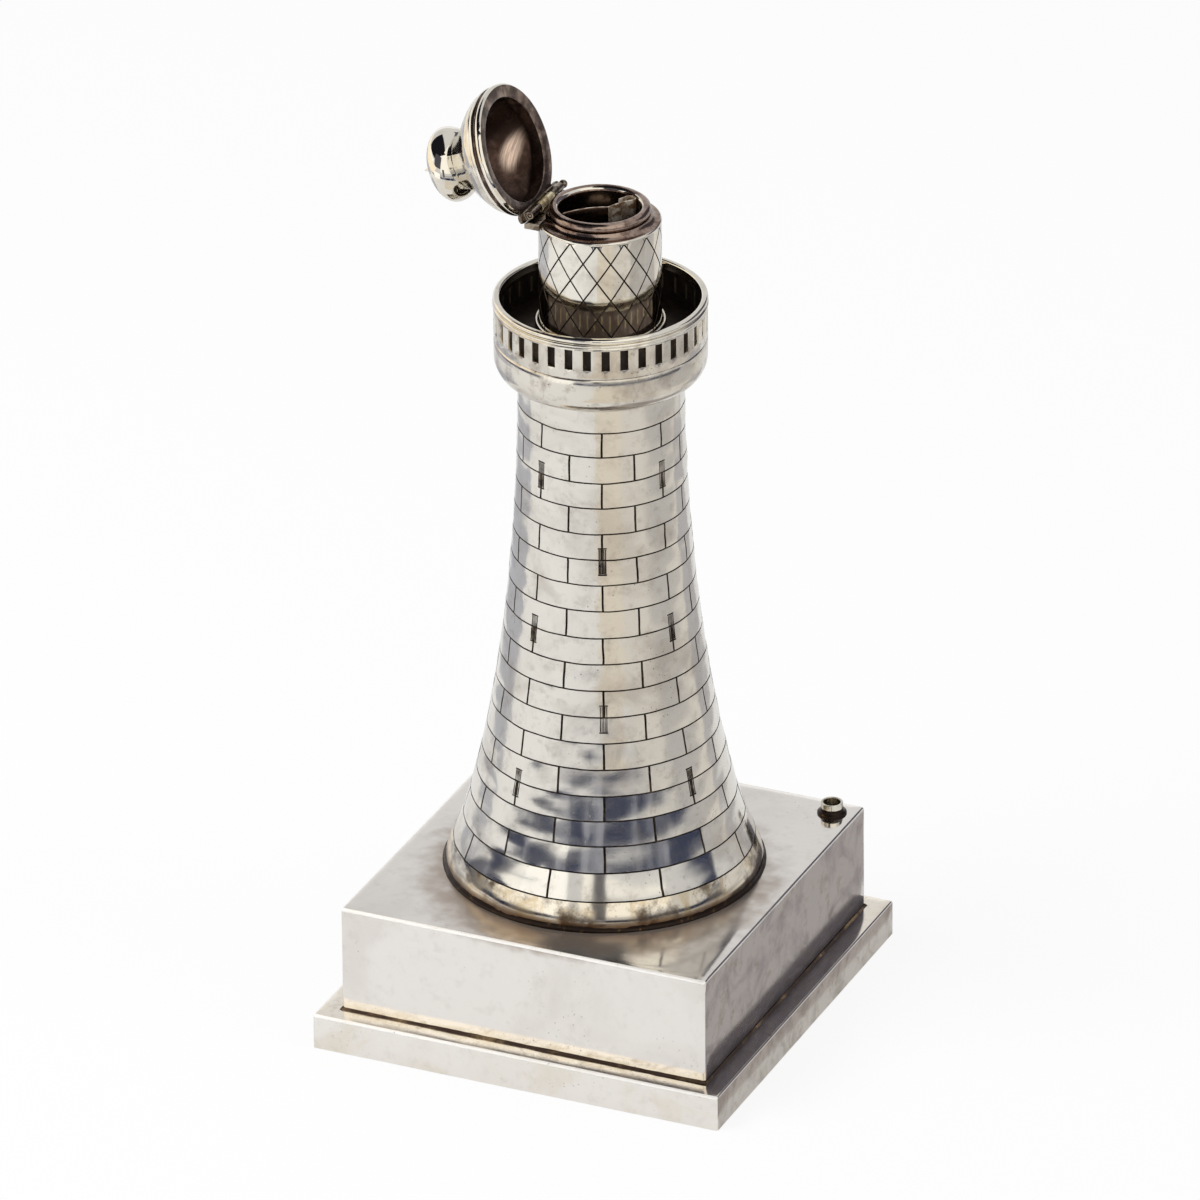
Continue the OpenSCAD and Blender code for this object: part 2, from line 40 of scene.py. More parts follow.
print("frame loaded:", len(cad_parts), "nodes")


# small tools, used by every piece

def setMode(mode):
    bpy.ops.object.mode_set(mode=mode)


def clearSelection():
    if bpy.context.object and bpy.context.object.mode != "OBJECT":
        setMode("OBJECT")
    bpy.ops.object.select_all(action="DESELECT")


def pick(obj):
    clearSelection()
    obj.select_set(True)
    bpy.context.view_layer.objects.active = obj


def radiusOf(point):
    return math.hypot(point.x, point.y)


def selectParts(obj, kind, test):
    # in edit mode: selects the parts of that kind that pass the test
    bpy.ops.mesh.select_mode(type=kind)
    bpy.ops.mesh.select_all(action="DESELECT")
    mesh = bmesh.from_edit_mesh(obj.data)
    for part in {"FACE": mesh.faces, "EDGE": mesh.edges, "VERT": mesh.verts}[kind]:
        if test(part):
            part.select = True
    if kind == "FACE":
        mesh.select_flush_mode()
    bmesh.update_edit_mesh(obj.data)


def selectFaces(obj, test):
    # the test gets a face's middle in mm and its normal
    selectParts(obj, "FACE", lambda face: test(face.calc_center_median() / mm, face.normal))


def selectVerts(obj, test):
    selectParts(obj, "VERT", lambda vert: test(vert.co / mm))


def paintFaces(obj, finish, test):
    # in object mode: gives the faces that pass the test the finish with that number
    for face in obj.data.polygons:
        if test(face.center / mm, face.normal):
            face.material_index = finish


def sinkLines(obj, depth):
    # in edit mode: sinks the selected points by that depth in mm, and the faces at them get the second finish
    for face in bmesh.from_edit_mesh(obj.data).faces:
        if any(vert.select for vert in face.verts):
            face.material_index = 1
    bpy.ops.transform.shrink_fatten(value=-depth * mm)


def weld(gap=1e-6):
    # in edit mode: merges points that lie together
    bpy.ops.mesh.select_all(action="SELECT")
    bpy.ops.mesh.remove_doubles(threshold=gap)


def applyModifier(obj, kind, **settings):
    pick(obj)
    modifier = obj.modifiers.new(kind.title(), kind)
    for name, value in settings.items():
        setattr(modifier, name, value)
    bpy.ops.object.modifier_apply(modifier=modifier.name)


def handRaise(obj, grain, depth, direction="NORMAL", level=0.5):
    # hammered and filed metal is never quite true: a soft cloud of that grain and depth in mm
    texture = bpy.data.textures.new(obj.name + "Hand", "CLOUDS")
    texture.noise_scale = grain * mm
    applyModifier(obj, "DISPLACE", texture=texture, texture_coords="LOCAL", strength=depth * mm,
                  mid_level=level, direction=direction)


def copyPiece(obj, name):
    twin = obj.copy()
    twin.data = obj.data.copy()
    twin.name = name
    bpy.context.scene.collection.objects.link(twin)
    return twin


def joinPieces(pieces):
    clearSelection()
    for piece in pieces:
        piece.select_set(True)
    bpy.context.view_layer.objects.active = pieces[0]
    bpy.ops.object.join()
    return pieces[0]


def settle(obj, matrix):
    # gives the mesh its place and leaves the object at the origin
    pick(obj)
    obj.matrix_world = matrix
    bpy.ops.object.transform_apply(location=True, rotation=True, scale=True)


def nameNew(name):
    obj = bpy.context.object
    obj.name = name
    obj.data.name = name
    return obj


def turnProfile(name, profile, steps=96, start=0.0, sweep=None):
    # one corner of a plane is pulled along the profile, then spun about the lighter's axis
    clearSelection()
    bpy.ops.mesh.primitive_plane_add(size=mm)
    obj = nameNew(name)
    setMode("EDIT")
    bpy.ops.mesh.select_mode(type="VERT")
    bpy.ops.mesh.select_all(action="SELECT")
    bpy.ops.mesh.merge(type="CENTER")
    points = [Vector((r * math.cos(start), r * math.sin(start), z)) * mm for r, z in profile]
    bpy.ops.transform.translate(value=points[0])
    for before, after in zip(points, points[1:]):
        bpy.ops.mesh.extrude_vertices_move(TRANSFORM_OT_translate={"value": after - before})
    weld()
    for count, angle in sweep or [(steps, math.tau)]:
        bpy.ops.mesh.spin(steps=count, angle=-angle, center=(0, 0, 0), axis=(0, 0, 1))  # spin turns clockwise
    weld()
    bpy.ops.mesh.normals_make_consistent(inside=False)
    setMode("OBJECT")
    return obj


def addRod(sides, radius, length, spot, lean=0.0):
    # a rod of that radius and length in mm, its middle on that spot
    clearSelection()
    bpy.ops.mesh.primitive_cylinder_add(vertices=sides, radius=radius * mm, depth=length * mm,
                                        location=[v * mm for v in spot], rotation=(0, lean, 0))
    return bpy.context.object


def addBox(name, width, depth, low, height):
    # a cube of that size in mm over the lighter's axis, left in edit mode
    clearSelection()
    bpy.ops.mesh.primitive_cube_add(size=1, location=(0, 0, (low + height / 2) * mm),
                                    scale=(width * mm, depth * mm, height * mm))
    box = nameNew(name)
    settle(box, box.matrix_world.copy())
    setMode("EDIT")
    return box


def freeSolid(node, name):
    # a copy of a CAD solid, loose from the frame and with its triangles joined, left in edit mode
    piece = copyPiece(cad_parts[node], name)
    for key in list(piece.keys()):
        del piece[key]
    piece.parent = None
    piece.matrix_world = Matrix.Identity(4)
    piece.data.materials.clear()
    pick(piece)
    setMode("EDIT")
    weld()
    return piece


def bezierPoints(a, b, c, d, steps):
    points = []
    for i in range(steps + 1):
        t = i / steps
        s = 1 - t
        points.append(tuple(s ** 3 * p + 3 * s * s * t * q + 3 * s * t * t * u + t ** 3 * v
                            for p, q, u, v in zip(a, b, c, d)))
    return points


def arcPoints(centre, radius, fromDeg, toDeg, steps, tall=None):
    # an arc of a circle, or of an ellipse where its height differs
    tall = radius if tall is None else tall
    turns = [math.radians(fromDeg + (toDeg - fromDeg) * i / steps) for i in range(steps + 1)]
    return [(centre[0] + radius * math.cos(a), centre[1] + tall * math.sin(a)) for a in turns]


def closedRing(points):
    return list(points) + [points[0]]


def finishPiece(obj, body, nodes, finishes, angle=30):
    pick(obj)
    bpy.ops.object.shade_smooth_by_angle(angle=math.radians(angle))
    for finish in finishes:
        obj.data.materials.append(finish)
    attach(obj, body)
    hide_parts(*nodes)
    return obj


# tools for the finishes

def srgb(code):
    values = [int(code[i:i + 2], 16) / 255 for i in (1, 3, 5)]
    return tuple(v / 12.92 if v <= 0.04045 else ((v + 0.055) / 1.055) ** 2.4 for v in values) + (1.0,)


def addNode(tree, kind, inputs=(), **settings):
    # inputs go in by name or in order: a value, a socket, or a node, which gives its first output in use
    node = tree.nodes.new("ShaderNode" + kind)
    for name, value in settings.items():
        setattr(node, name, value)
    inUse = [socket for socket in node.inputs if socket.enabled]
    for key, value in inputs.items() if isinstance(inputs, dict) else enumerate(inputs):
        socket = node.inputs[key] if isinstance(key, str) else inUse[key]
        if isinstance(value, bpy.types.Node):
            value = next(output for output in value.outputs if output.enabled)
        if isinstance(value, bpy.types.NodeSocket):
            tree.links.new(value, socket)
        else:
            socket.default_value = value
    return node


def newFinish(name):
    material = bpy.data.materials.new(name)
    material.use_nodes = True
    material.node_tree.nodes.clear()
    return material, material.node_tree


def softPatches(tree, vector, size, detail, coarse, low, high, most=1.0, warp=0.0):
    # patches of that size in mm, from none below the low level of a cloud to the most above the high one
    cloud = addNode(tree, "TexNoise", {"Vector": vector, "Scale": 1 / (size * mm), "Detail": detail,
                    "Roughness": coarse, "Distortion": warp})
    return addNode(tree, "MapRange", {"Value": cloud, "From Min": low, "From Max": high, "To Max": most},
                   interpolation_type="SMOOTHSTEP")


def closeFinish(tree, colour, metallic, rough, height, relief, strength=1.0):
    # the shader that a finish ends in, with a bump of that relief in mm
    bump = addNode(tree, "Bump", {"Height": height, "Strength": strength, "Distance": relief * mm})
    shader = addNode(tree, "BsdfPrincipled", {"Base Color": colour, "Metallic": metallic, "Roughness": rough,
                     "Normal": bump})
    addNode(tree, "OutputMaterial", {"Surface": shader})


# each silver finish comes from one of the next two functions; sizes of patterns are in mm
silverLook = {
    "clean": "#DEDAD2", "film": "#A89E93", "brown": "#6E5B48", "pitted": "#2B231D",
    "patch": 13.0, "patchAmount": 0.55, "patchFrom": 0.44, "patchFull": 0.68,
    "mottle": 2.4, "brownFrom": 0.5, "brownStep": 0.22, "brownAmount": 0.35,
    "pit": 1.1, "pitAmount": 0.5, "pitDepth": 0.3, "pitEdge": (0.16, 0.06), "pitZone": (0.5, 0.62),
    "wave": 7.0, "waveDepth": 0.6,
    "scratch": 0.5, "scratchWidths": (0.12, 0.17), "scratchRough": 0.08, "scratchEdge": (0.62, 0.7),
    "scratchTurns": ((0.5, 0.2, 0.35), (-0.6, 0.9, -0.4)), "scratchStretch": 0.045,
    "rough": 0.13, "roughSpread": 0.14, "metallic": 1.0, "relief": 0.05, "ragged": 7.0,
    # a flat stain: where it is full and where it ends, its middle, and how much it covers, mattes and dulls
    "ring": None, "ringMiddle": (2.0, -7.0, 27.4), "ringColour": "#5A3F22", "ringAmount": 0.65,
    "ringRagged": 1.6, "ringMatt": 0.35, "ringDull": 0.13,
    "smoke": None, "smokeColour": "#3A2A20", "smokeAmount": 0.8, "smokeRagged": 0.4,  # a band from the foot up, full below the first height and gone by the second: dark brown at the tower's solder, painted shade at the plinth's seam
}


def oldSilver(name, **changes):
    # Sheet silver, raised and worn by hand: bright and warm, with a grey-brown film of sulphide in soft
    # patches, small dark pits, and the crossed scratches of polishing cloths. These are finer on the real
    # one, and are drawn as coarse as they need to be to show.
    look = dict(silverLook, **changes)
    material, tree = newFinish(name)
    place = addNode(tree, "TexCoord").outputs["Object"]
    film = softPatches(tree, place, look["patch"], 4.0, 0.6, look["patchFrom"], look["patchFull"],
                       look["patchAmount"], 0.6)
    mottle = softPatches(tree, place, look["mottle"], 5.0, 0.65, look["brownFrom"],
                         look["brownFrom"] + look["brownStep"], look["brownAmount"])
    spots = addNode(tree, "TexVoronoi", {"Vector": place, "Scale": 1 / (look["pit"] * mm), "Randomness": 1.0})
    dark = addNode(tree, "MapRange", {"Value": spots, "From Min": look["pitEdge"][0],
                   "From Max": look["pitEdge"][1], "To Max": look["pitAmount"]},
                   interpolation_type="SMOOTHSTEP")
    zone = softPatches(tree, place, look["patch"] * 0.6, 2.0, 0.55, *look["pitZone"])
    pits = addNode(tree, "Math", (dark, zone), operation="MULTIPLY")
    marks = []
    for turn, width in zip(look["scratchTurns"], look["scratchWidths"]):
        drawn = addNode(tree, "Mapping", {"Vector": place, "Rotation": turn,
                        "Scale": (1.0, look["scratchStretch"], 1.0)})
        marks.append(softPatches(tree, drawn.outputs["Vector"], width, 1.0, 0.4, *look["scratchEdge"]))
    scratches = addNode(tree, "Math", (addNode(tree, "Math", marks, operation="MAXIMUM"), look["scratch"]),
                        operation="MULTIPLY")

    colour = srgb(look["clean"])
    for cover, paint in ((film, look["film"]), (mottle, look["brown"]), (pits, look["pitted"])):
        colour = addNode(tree, "Mix", (cover, colour, srgb(paint)), data_type="RGBA")
    worn = addNode(tree, "Math", (film, mottle), operation="ADD")
    rough = addNode(tree, "Math", (worn, look["roughSpread"], look["rough"]), operation="MULTIPLY_ADD")
    rough = addNode(tree, "Math", (scratches, look["scratchRough"], rough), operation="MULTIPLY_ADD")
    metallic = look["metallic"]

    if look["ring"] or look["smoke"]:  # a stain and the low band have ragged edges
        cloud = addNode(tree, "TexNoise", {"Vector": place, "Scale": 1 / (look["mottle"] * 1.6 * mm),
                        "Detail": 2.0, "Roughness": 0.5})
        tooth = addNode(tree, "Math", (cloud, 0.5), operation="SUBTRACT")
    if look["ring"]:
        thin = Vector((1.0, 1.0, 12.0))  # it dies away fast below the top
        flat = addNode(tree, "Mapping", {"Vector": place, "Location": -Vector(look["ringMiddle"]) * thin * mm,
                       "Scale": thin})
        away = addNode(tree, "VectorMath", (flat,), operation="LENGTH")
        edge = addNode(tree, "Math", (tooth, look["ragged"] * look["ringRagged"] * mm, away),
                       operation="MULTIPLY_ADD")
        stain = addNode(tree, "MapRange", {"Value": edge, "From Min": look["ring"][1] * mm,
                        "From Max": look["ring"][0] * mm, "To Max": look["ringAmount"]},
                        interpolation_type="SMOOTHSTEP")
        colour = addNode(tree, "Mix", (stain, colour, srgb(look["ringColour"])), data_type="RGBA")
        metallic = addNode(tree, "Math", (stain, -look["ringMatt"], metallic), operation="MULTIPLY_ADD")
        rough = addNode(tree, "Math", (stain, look["ringDull"], rough), operation="MULTIPLY_ADD")
    if look["smoke"]:
        height = addNode(tree, "SeparateXYZ", (place,)).outputs["Z"]
        edge = addNode(tree, "Math", (tooth, look["ragged"] * look["smokeRagged"] * mm, height),
                       operation="MULTIPLY_ADD")
        smoked = addNode(tree, "MapRange", {"Value": edge, "From Min": look["smoke"][1] * mm,
                         "From Max": look["smoke"][0] * mm, "To Max": look["smokeAmount"]},
                         interpolation_type="SMOOTHSTEP")
        colour = addNode(tree, "Mix", (smoked, colour, srgb(look["smokeColour"])), data_type="RGBA")
    waves = addNode(tree, "TexNoise", {"Vector": place, "Scale": 1 / (look["wave"] * mm), "Detail": 1.0,
                    "Roughness": 0.4})
    sunk = addNode(tree, "Math", (pits, look["pitDepth"]), operation="MULTIPLY")
    relief = addNode(tree, "Math", (waves, look["waveDepth"]), operation="MULTIPLY")
    relief = addNode(tree, "Math", (relief, sunk), operation="SUBTRACT")
    closeFinish(tree, colour, metallic, rough, relief, look["relief"])
    return material


# what all smoked finishes share: the grit and its relief in mm, and how far the gloss strays from its mean
smokeLook = {
    "grit": 0.4, "relief": 0.03, "strength": 0.5, "duller": 0.12, "shinier": 0.08, "spread": (0.3, 0.75),
    # a painted highlight, an oval: where it starts and is full in half sizes, its streaks, and the least that
    # shows there
    "highlightEdge": (1.5, 0.3), "highlightStretch": (5.0, 0.7, 0.0), "highlightStreak": (0.3, 0.6), "highlightLeast": 0.25,
}


def smokedSilver(name, dark, pale, rough, size=3.0, metallic=0.75, worn=(0.42, 0.7), palerPart=None):
    # silver that soot and sulphide have turned brown: a dull skin, with the metal showing through in streaks
    material, tree = newFinish(name)
    place = addNode(tree, "TexCoord").outputs["Object"]
    cloud = addNode(tree, "TexNoise", {"Vector": place, "Scale": 1 / (size * mm), "Detail": 6.0,
                    "Roughness": 0.65, "Distortion": 0.4})
    bare = addNode(tree, "MapRange", {"Value": cloud, "From Min": worn[0], "From Max": worn[1]},
                   interpolation_type="SMOOTHSTEP")
    colour = addNode(tree, "Mix", (bare, srgb(dark), srgb(pale)), data_type="RGBA")
    grit = addNode(tree, "TexNoise", {"Vector": place, "Scale": 1 / (smokeLook["grit"] * mm), "Detail": 3.0})
    # a painted highlight: a pale streaked oval where the lid's inside would mirror a window
    if palerPart:
        spot = addNode(tree, "Mapping", {"Vector": place, "Location": Vector(palerPart["place"]) * mm,
                       "Rotation": Matrix(palerPart["axes"]).transposed().to_euler(),
                       "Scale": Vector(palerPart["half"]) * mm}, vector_type="TEXTURE")
        away = addNode(tree, "VectorMath", (spot,), operation="LENGTH")
        near = addNode(tree, "MapRange", {"Value": away, "From Min": smokeLook["highlightEdge"][0],
                       "From Max": smokeLook["highlightEdge"][1]}, interpolation_type="SMOOTHERSTEP")
        drawn = addNode(tree, "Mapping", {"Vector": spot, "Scale": smokeLook["highlightStretch"]})
        streak = addNode(tree, "TexNoise", {"Vector": drawn, "Scale": 1.0, "Detail": 3.0, "Roughness": 0.7})
        share = addNode(tree, "MapRange", {"Value": streak, "From Min": smokeLook["highlightStreak"][0],
                        "From Max": smokeLook["highlightStreak"][1], "To Min": smokeLook["highlightLeast"]})
        shown = addNode(tree, "Math", (near, share), operation="MULTIPLY")
        colour = addNode(tree, "Mix", (shown, colour, srgb(palerPart["colour"])), data_type="RGBA")
    roughness = addNode(tree, "MapRange", {"Value": cloud, "From Min": smokeLook["spread"][0],
                        "From Max": smokeLook["spread"][1], "To Min": rough + smokeLook["duller"],
                        "To Max": rough - smokeLook["shinier"]})
    closeFinish(tree, colour, metallic, roughness, grit, smokeLook["relief"], smokeLook["strength"])
    return material


# base: folded and raised sheet, mirror bright where it was polished and filmed where it wasn't
towerSilver = oldSilver("raisedSilverWorn", patchAmount=0.4, brownAmount=0.22, rough=0.11,
                        roughSpread=0.1)  # bright, under a light film in wide soft clouds
footSilver = oldSilver("scorchedFootSilver", clean="#E0D8C9", film="#BFA677", brown="#3A2718", patch=4.5,
                       patchAmount=0.6, mottle=6.5, brownFrom=0.46, brownAmount=0.85, rough=0.1,
                       smoke=(27.9, 30.6), smokeColour="#5A3A1B")  # golden, then dark brown at the solder
# along its foot, a faint warm painted shade at the seam with the flange
plinthSilver = oldSilver("foldedSheetSilver", patch=22.0, patchAmount=0.16, brownAmount=0.08, rough=0.1,
                         clean="#EAE6E1", ring=(26.0, 37.0), ringColour="#705231", smoke=(7.1, 8.5),
                         smokeColour="#E0D8C9")  # clear, with the heat stain of soldering round the tower
flangeSilver = oldSilver("foldedFlangeSilver", patch=14.0, patchAmount=0.3, film="#D0C3A4", brownAmount=0.1,
                         rough=0.1, clean="#ECE8E3")  # clear, with a faint tint of straw
# along their foot, painted shade: darker grey at the seam with the flange
sideSilver = oldSilver("stainedAndShadedSheetSilver", patch=9.0, patchAmount=0.6, film="#A29BA2", mottle=3.4,
                       brown="#A08B6C", brownAmount=0.45, clean="#E2DEDA", smoke=(7.3, 9.4),
                       smokeColour="#77706E")  # the right side was less rubbed: violet and brown clouds
flangeSideSilver = oldSilver("stainedFlangeSilver", patch=6.0, patchAmount=0.6, film="#A3998F",
                             brown="#A08B6C", brownAmount=0.4, clean="#E2DCD4")  # grey and brown clouds
ledgeSilver = oldSilver("creamedLedgeSilverPaintedPaler", patch=5.0, patchAmount=0.5, clean="#F1EADF", film="#E2D8C6",
                        brown="#9A7F5E", brownAmount=0.3)  # polish dried on the ledge leaves it cream, and it is painted paler as well, as painted light
foldSilver = oldSilver("paleFoldPaintedHighlight", clean="#FBF9F6", film="#E9E4DA", patchAmount=0.3,
                       brownAmount=0.05, rough=0.42, metallic=0.55)  # a painted highlight: a pale, softly lit edge
# solder goes brown where a cloth still reaches it, and nearly black with golden specks where none does
baseSolder = smokedSilver("brownedSeamSolder", "#463730", "#8A7458", 0.3, 4.5, 0.9, (0.48, 0.72))
leadSolder = smokedSilver("oldLeadSolder", "#261B15", "#8A6A42", 0.32, 1.6, 0.8, (0.56, 0.8))
cutLine = smokedSilver("tarnishInCutLine", "#2A231E", "#5E5347", 0.5, 1.5)  # nearly black in every cut

# gallery: turned work, yellowed by the lamp, and sooted inside
gallerySilver = oldSilver("turnedSilverFilmed", patch=8.0, brownAmount=0.4, clean="#DAD5CB", pit=0.9,
                          pitAmount=1.0)  # warm, clouded and freckled with pits
brightSilver = oldSilver("burnishedSilver", patchAmount=0.3, brownAmount=0.15, rough=0.05, roughSpread=0.1,
                         clean="#E4DFD4", pitAmount=0.3, scratch=0.3)  # hard, clear reflections
sootAndSlotShade = smokedSilver("sootedSilverAndSlotShade", "#231B16", "#3C322A", 0.42, 3.0, 0.7)  # nearly black soot, dimly lit; on the slots' outer backs the same finish is painted shade
slotSkinPaintedDim = smokedSilver("smokedSlotSkin", "#4E483B", "#6B624E", 0.35, 2.0, 0.4)  # painted dim light: the inner faces of the slot backs, seen as dim lines at the back
smokedWall = smokedSilver("smokedInnerWall", "#A08E86", "#CDBEB8", 0.5, 3.0, 0.1)  # painted light: the front's inner wall, paler, which the drum mirrors as its brown band
slotSkinPaintedGlint = smokedSilver("slotBackPaintedGlints", "#F2E2B4", "#FFF2CC", 0.5, 3.0, 0.0)  # painted glints: the front slots' backs, bright, which the drum mirrors as gold lines in that band

# lantern, lid and hinge: bright outside, browned by the flame where it licks them
lanternSilver = oldSilver("engravedLanternSilver", patch=9.0, patchAmount=0.35, brownAmount=0.2,
                          clean="#E3DFD5", film="#9A8B7C", rough=0.06,
                          roughSpread=0.1)  # a clear mirror between its dark lines
domeSilver = oldSilver("raisedLidSilver", patch=7.0, brownAmount=0.3, rough=0.07, roughSpread=0.1,
                       clean="#DDD8CE")  # nearly as clear, in brown and grey clouds
brownedSilver = oldSilver("brownedSilver", clean="#A08D82", film="#6C564B", brown="#3A2A24", patch=4.0,
                          patchAmount=0.85, brownAmount=0.7, mottle=1.2, rough=0.14,
                          roughSpread=0.1)  # brown from the heat, and still half bright
hingeSilver = oldSilver("solderedHingeSilver", clean="#94887A", film="#4A3D34", brown="#1F1712", patch=2.2,
                        patchAmount=0.95, brownAmount=0.8, mottle=0.9, rough=0.2, roughSpread=0.12,
                        scratch=0.4)  # solder and dirt in small dark clouds, grey metal between them
# the knuckle is yellowed, and painted pale as a painted highlight where it shows lit
knuckleSilver = smokedSilver("yellowedKnuckleSilverPaintedHighlight", "#A08A62", "#EADCB8", 0.3, 1.4, 0.6, (0.35, 0.55))
# a painted highlight inside the lid, a pale oval that stands in for the window it mirrors: its middle, half
# sizes and axes, and its colour
paintedHighlightOval = {"place": (-20.7, 7.6, 161.9), "half": (1.3, 3.4, 5.0), "colour": "#DCC3B2",
              "axes": ((0.249, 0.755, -0.6), (-0.289, 0.65, 0.698), (0.924, 0.0, 0.383))}
# soot baked on by the flame leaves the lid's inside dark brown, with a shine and a painted highlight, and its
# mouth a paler brown
lidInside = smokedSilver("sootedSilver", "#35261F", "#54423A", 0.28, 2.6, 0.9, (0.4, 0.75), paintedHighlightOval)
lidMouth = smokedSilver("smokedBrownSilver", "#53453F", "#A08D80", 0.2, 3.5, 0.95)
# the strip is brown, and pale grey where the wand has worn it
springMetal = smokedSilver("tarnishedSpringStrip", "#6F5438", "#CDC3B4", 0.3, 1.8, 0.35, (0.42, 0.62))
plainTin = smokedSilver("tinnedIron", "#6B6964", "#8E8B85", 0.4, 5.0, 1.0)  # grey, even and dull


cottonLook = {"strand": 2.2, "bent": 2.0, "dark": "#8E8370", "pale": "#D9D0BC", "rough": 0.95, "relief": 0.1,
              "strength": 0.6}


def woundCotton(name, strand, bent, dark, pale, rough, relief, strength):
    # cotton lamp wick and packing: matt, cream, with the small shadow of its strands
    material, tree = newFinish(name)
    place = addNode(tree, "TexCoord").outputs["Object"]
    strands = addNode(tree, "TexWave", {"Vector": place, "Scale": 1 / (strand * mm), "Distortion": bent,
                      "Detail": 2.0}, bands_direction="Z").outputs["Fac"]
    colour = addNode(tree, "Mix", (strands, srgb(dark), srgb(pale)), data_type="RGBA")
    closeFinish(tree, colour, 0.0, rough, strands, relief, strength)
    return material


wickCotton = woundCotton("woundCotton", **cottonLook)
print("finishes ready")


# the tower is one sheet raised to shape, its stone courses cut with a graver; here and below, a value whose
# name ends in Hand is the grain and depth in mm of the waves that hand work left in a piece
towerShape = {
    "baseZ": 27.4, "height": 97.8, "footR": 27.35, "footBandH": 5.6, "footBelly": 1.75, "topR": 15.0,
    "sweepIn": 3.5, "sweepRise": 7.2, "sweepTop": 50.2, "wall": 0.9,
    "lines": [5.22, 10.12, 14.86, 19.36, 23.88, 28.74, 33.64, 38.48, 43.44, 48.44, 53.38, 58.52, 63.5, 68.4,
              73.34, 78.38, 83.26, 88.36, 93.06],  # heights of the course lines above the plinth, cut by eye
    "bricks": 8, "brickColumns": 12, "pillow": 0.055, "lineHalf": 0.14, "lineDepth": 0.15,
    "jointTurn": 0.2, "jointDepth": 0.09,
    "lineHand": (5.0, 0.2), "swayHand": (3.5, 0.22), "wallHand": (9.0, 0.1),
}
courseLines = towerShape["lines"]
courses = len(courseLines) - 1
towerBase = towerShape["baseZ"]


def towerOutline(footR, footBelly, footBandH, topR, height, sweepIn, sweepRise, sweepTop, **others):
    low = bezierPoints((footR + footBelly * 0.8, 0), (footR + footBelly * 1.15, footBandH * 0.3),
                       (footR + footBelly * 0.45, footBandH * 0.6), (footR, footBandH), 30)
    high = bezierPoints((footR, footBandH), (footR - sweepIn, footBandH + sweepRise),
                        (topR, height - sweepTop), (topR, height), 200)
    return low + high[1:]


towerLine = towerOutline(**towerShape)


def towerRadius(z):
    for (r0, z0), (r1, z1) in zip(towerLine, towerLine[1:]):
        if z <= z1:
            return r0 + (r1 - r0) * (z - z0) / (z1 - z0)
    return towerLine[-1][0]


def towerPlace(point):
    # course of a point on the wall (with its share of the way up it) and turn in bricks; None on the inside
    z = point.z - towerBase
    if radiusOf(point) < towerRadius(z) - towerShape["wall"] / 2:
        return None
    turn = ((math.atan2(point.y, point.x) - viewerTurn) % math.tau) / math.tau * towerShape["bricks"]
    if z < courseLines[0] - 0.01:
        return -1.0, turn
    for k in range(courses):
        low, high = courseLines[k:k + 2]
        if z < high - 0.01:
            return k + max(0.0, (z - low) / (high - low)), turn - (0 if k % 2 else 0.5)
    return courses + (0.0 if z < courseLines[-1] + 0.01 else 0.5), turn


def jointGap(point):
    # how far a point stands from the nearest upright joint, in bricks; 1 where there is no joint
    place = towerPlace(point)
    if not place or not 0 < place[0] < courses or place[0] % 1 < 0.01:
        return 1.0
    return place[1] - round(place[1])


def onCourseLine(point):
    place = towerPlace(point)
    return bool(place) and place[0] >= 0 and (place[0] % 1 < 0.01 and place[0] <= courses
                                              or abs(jointGap(point)) < 0.002)


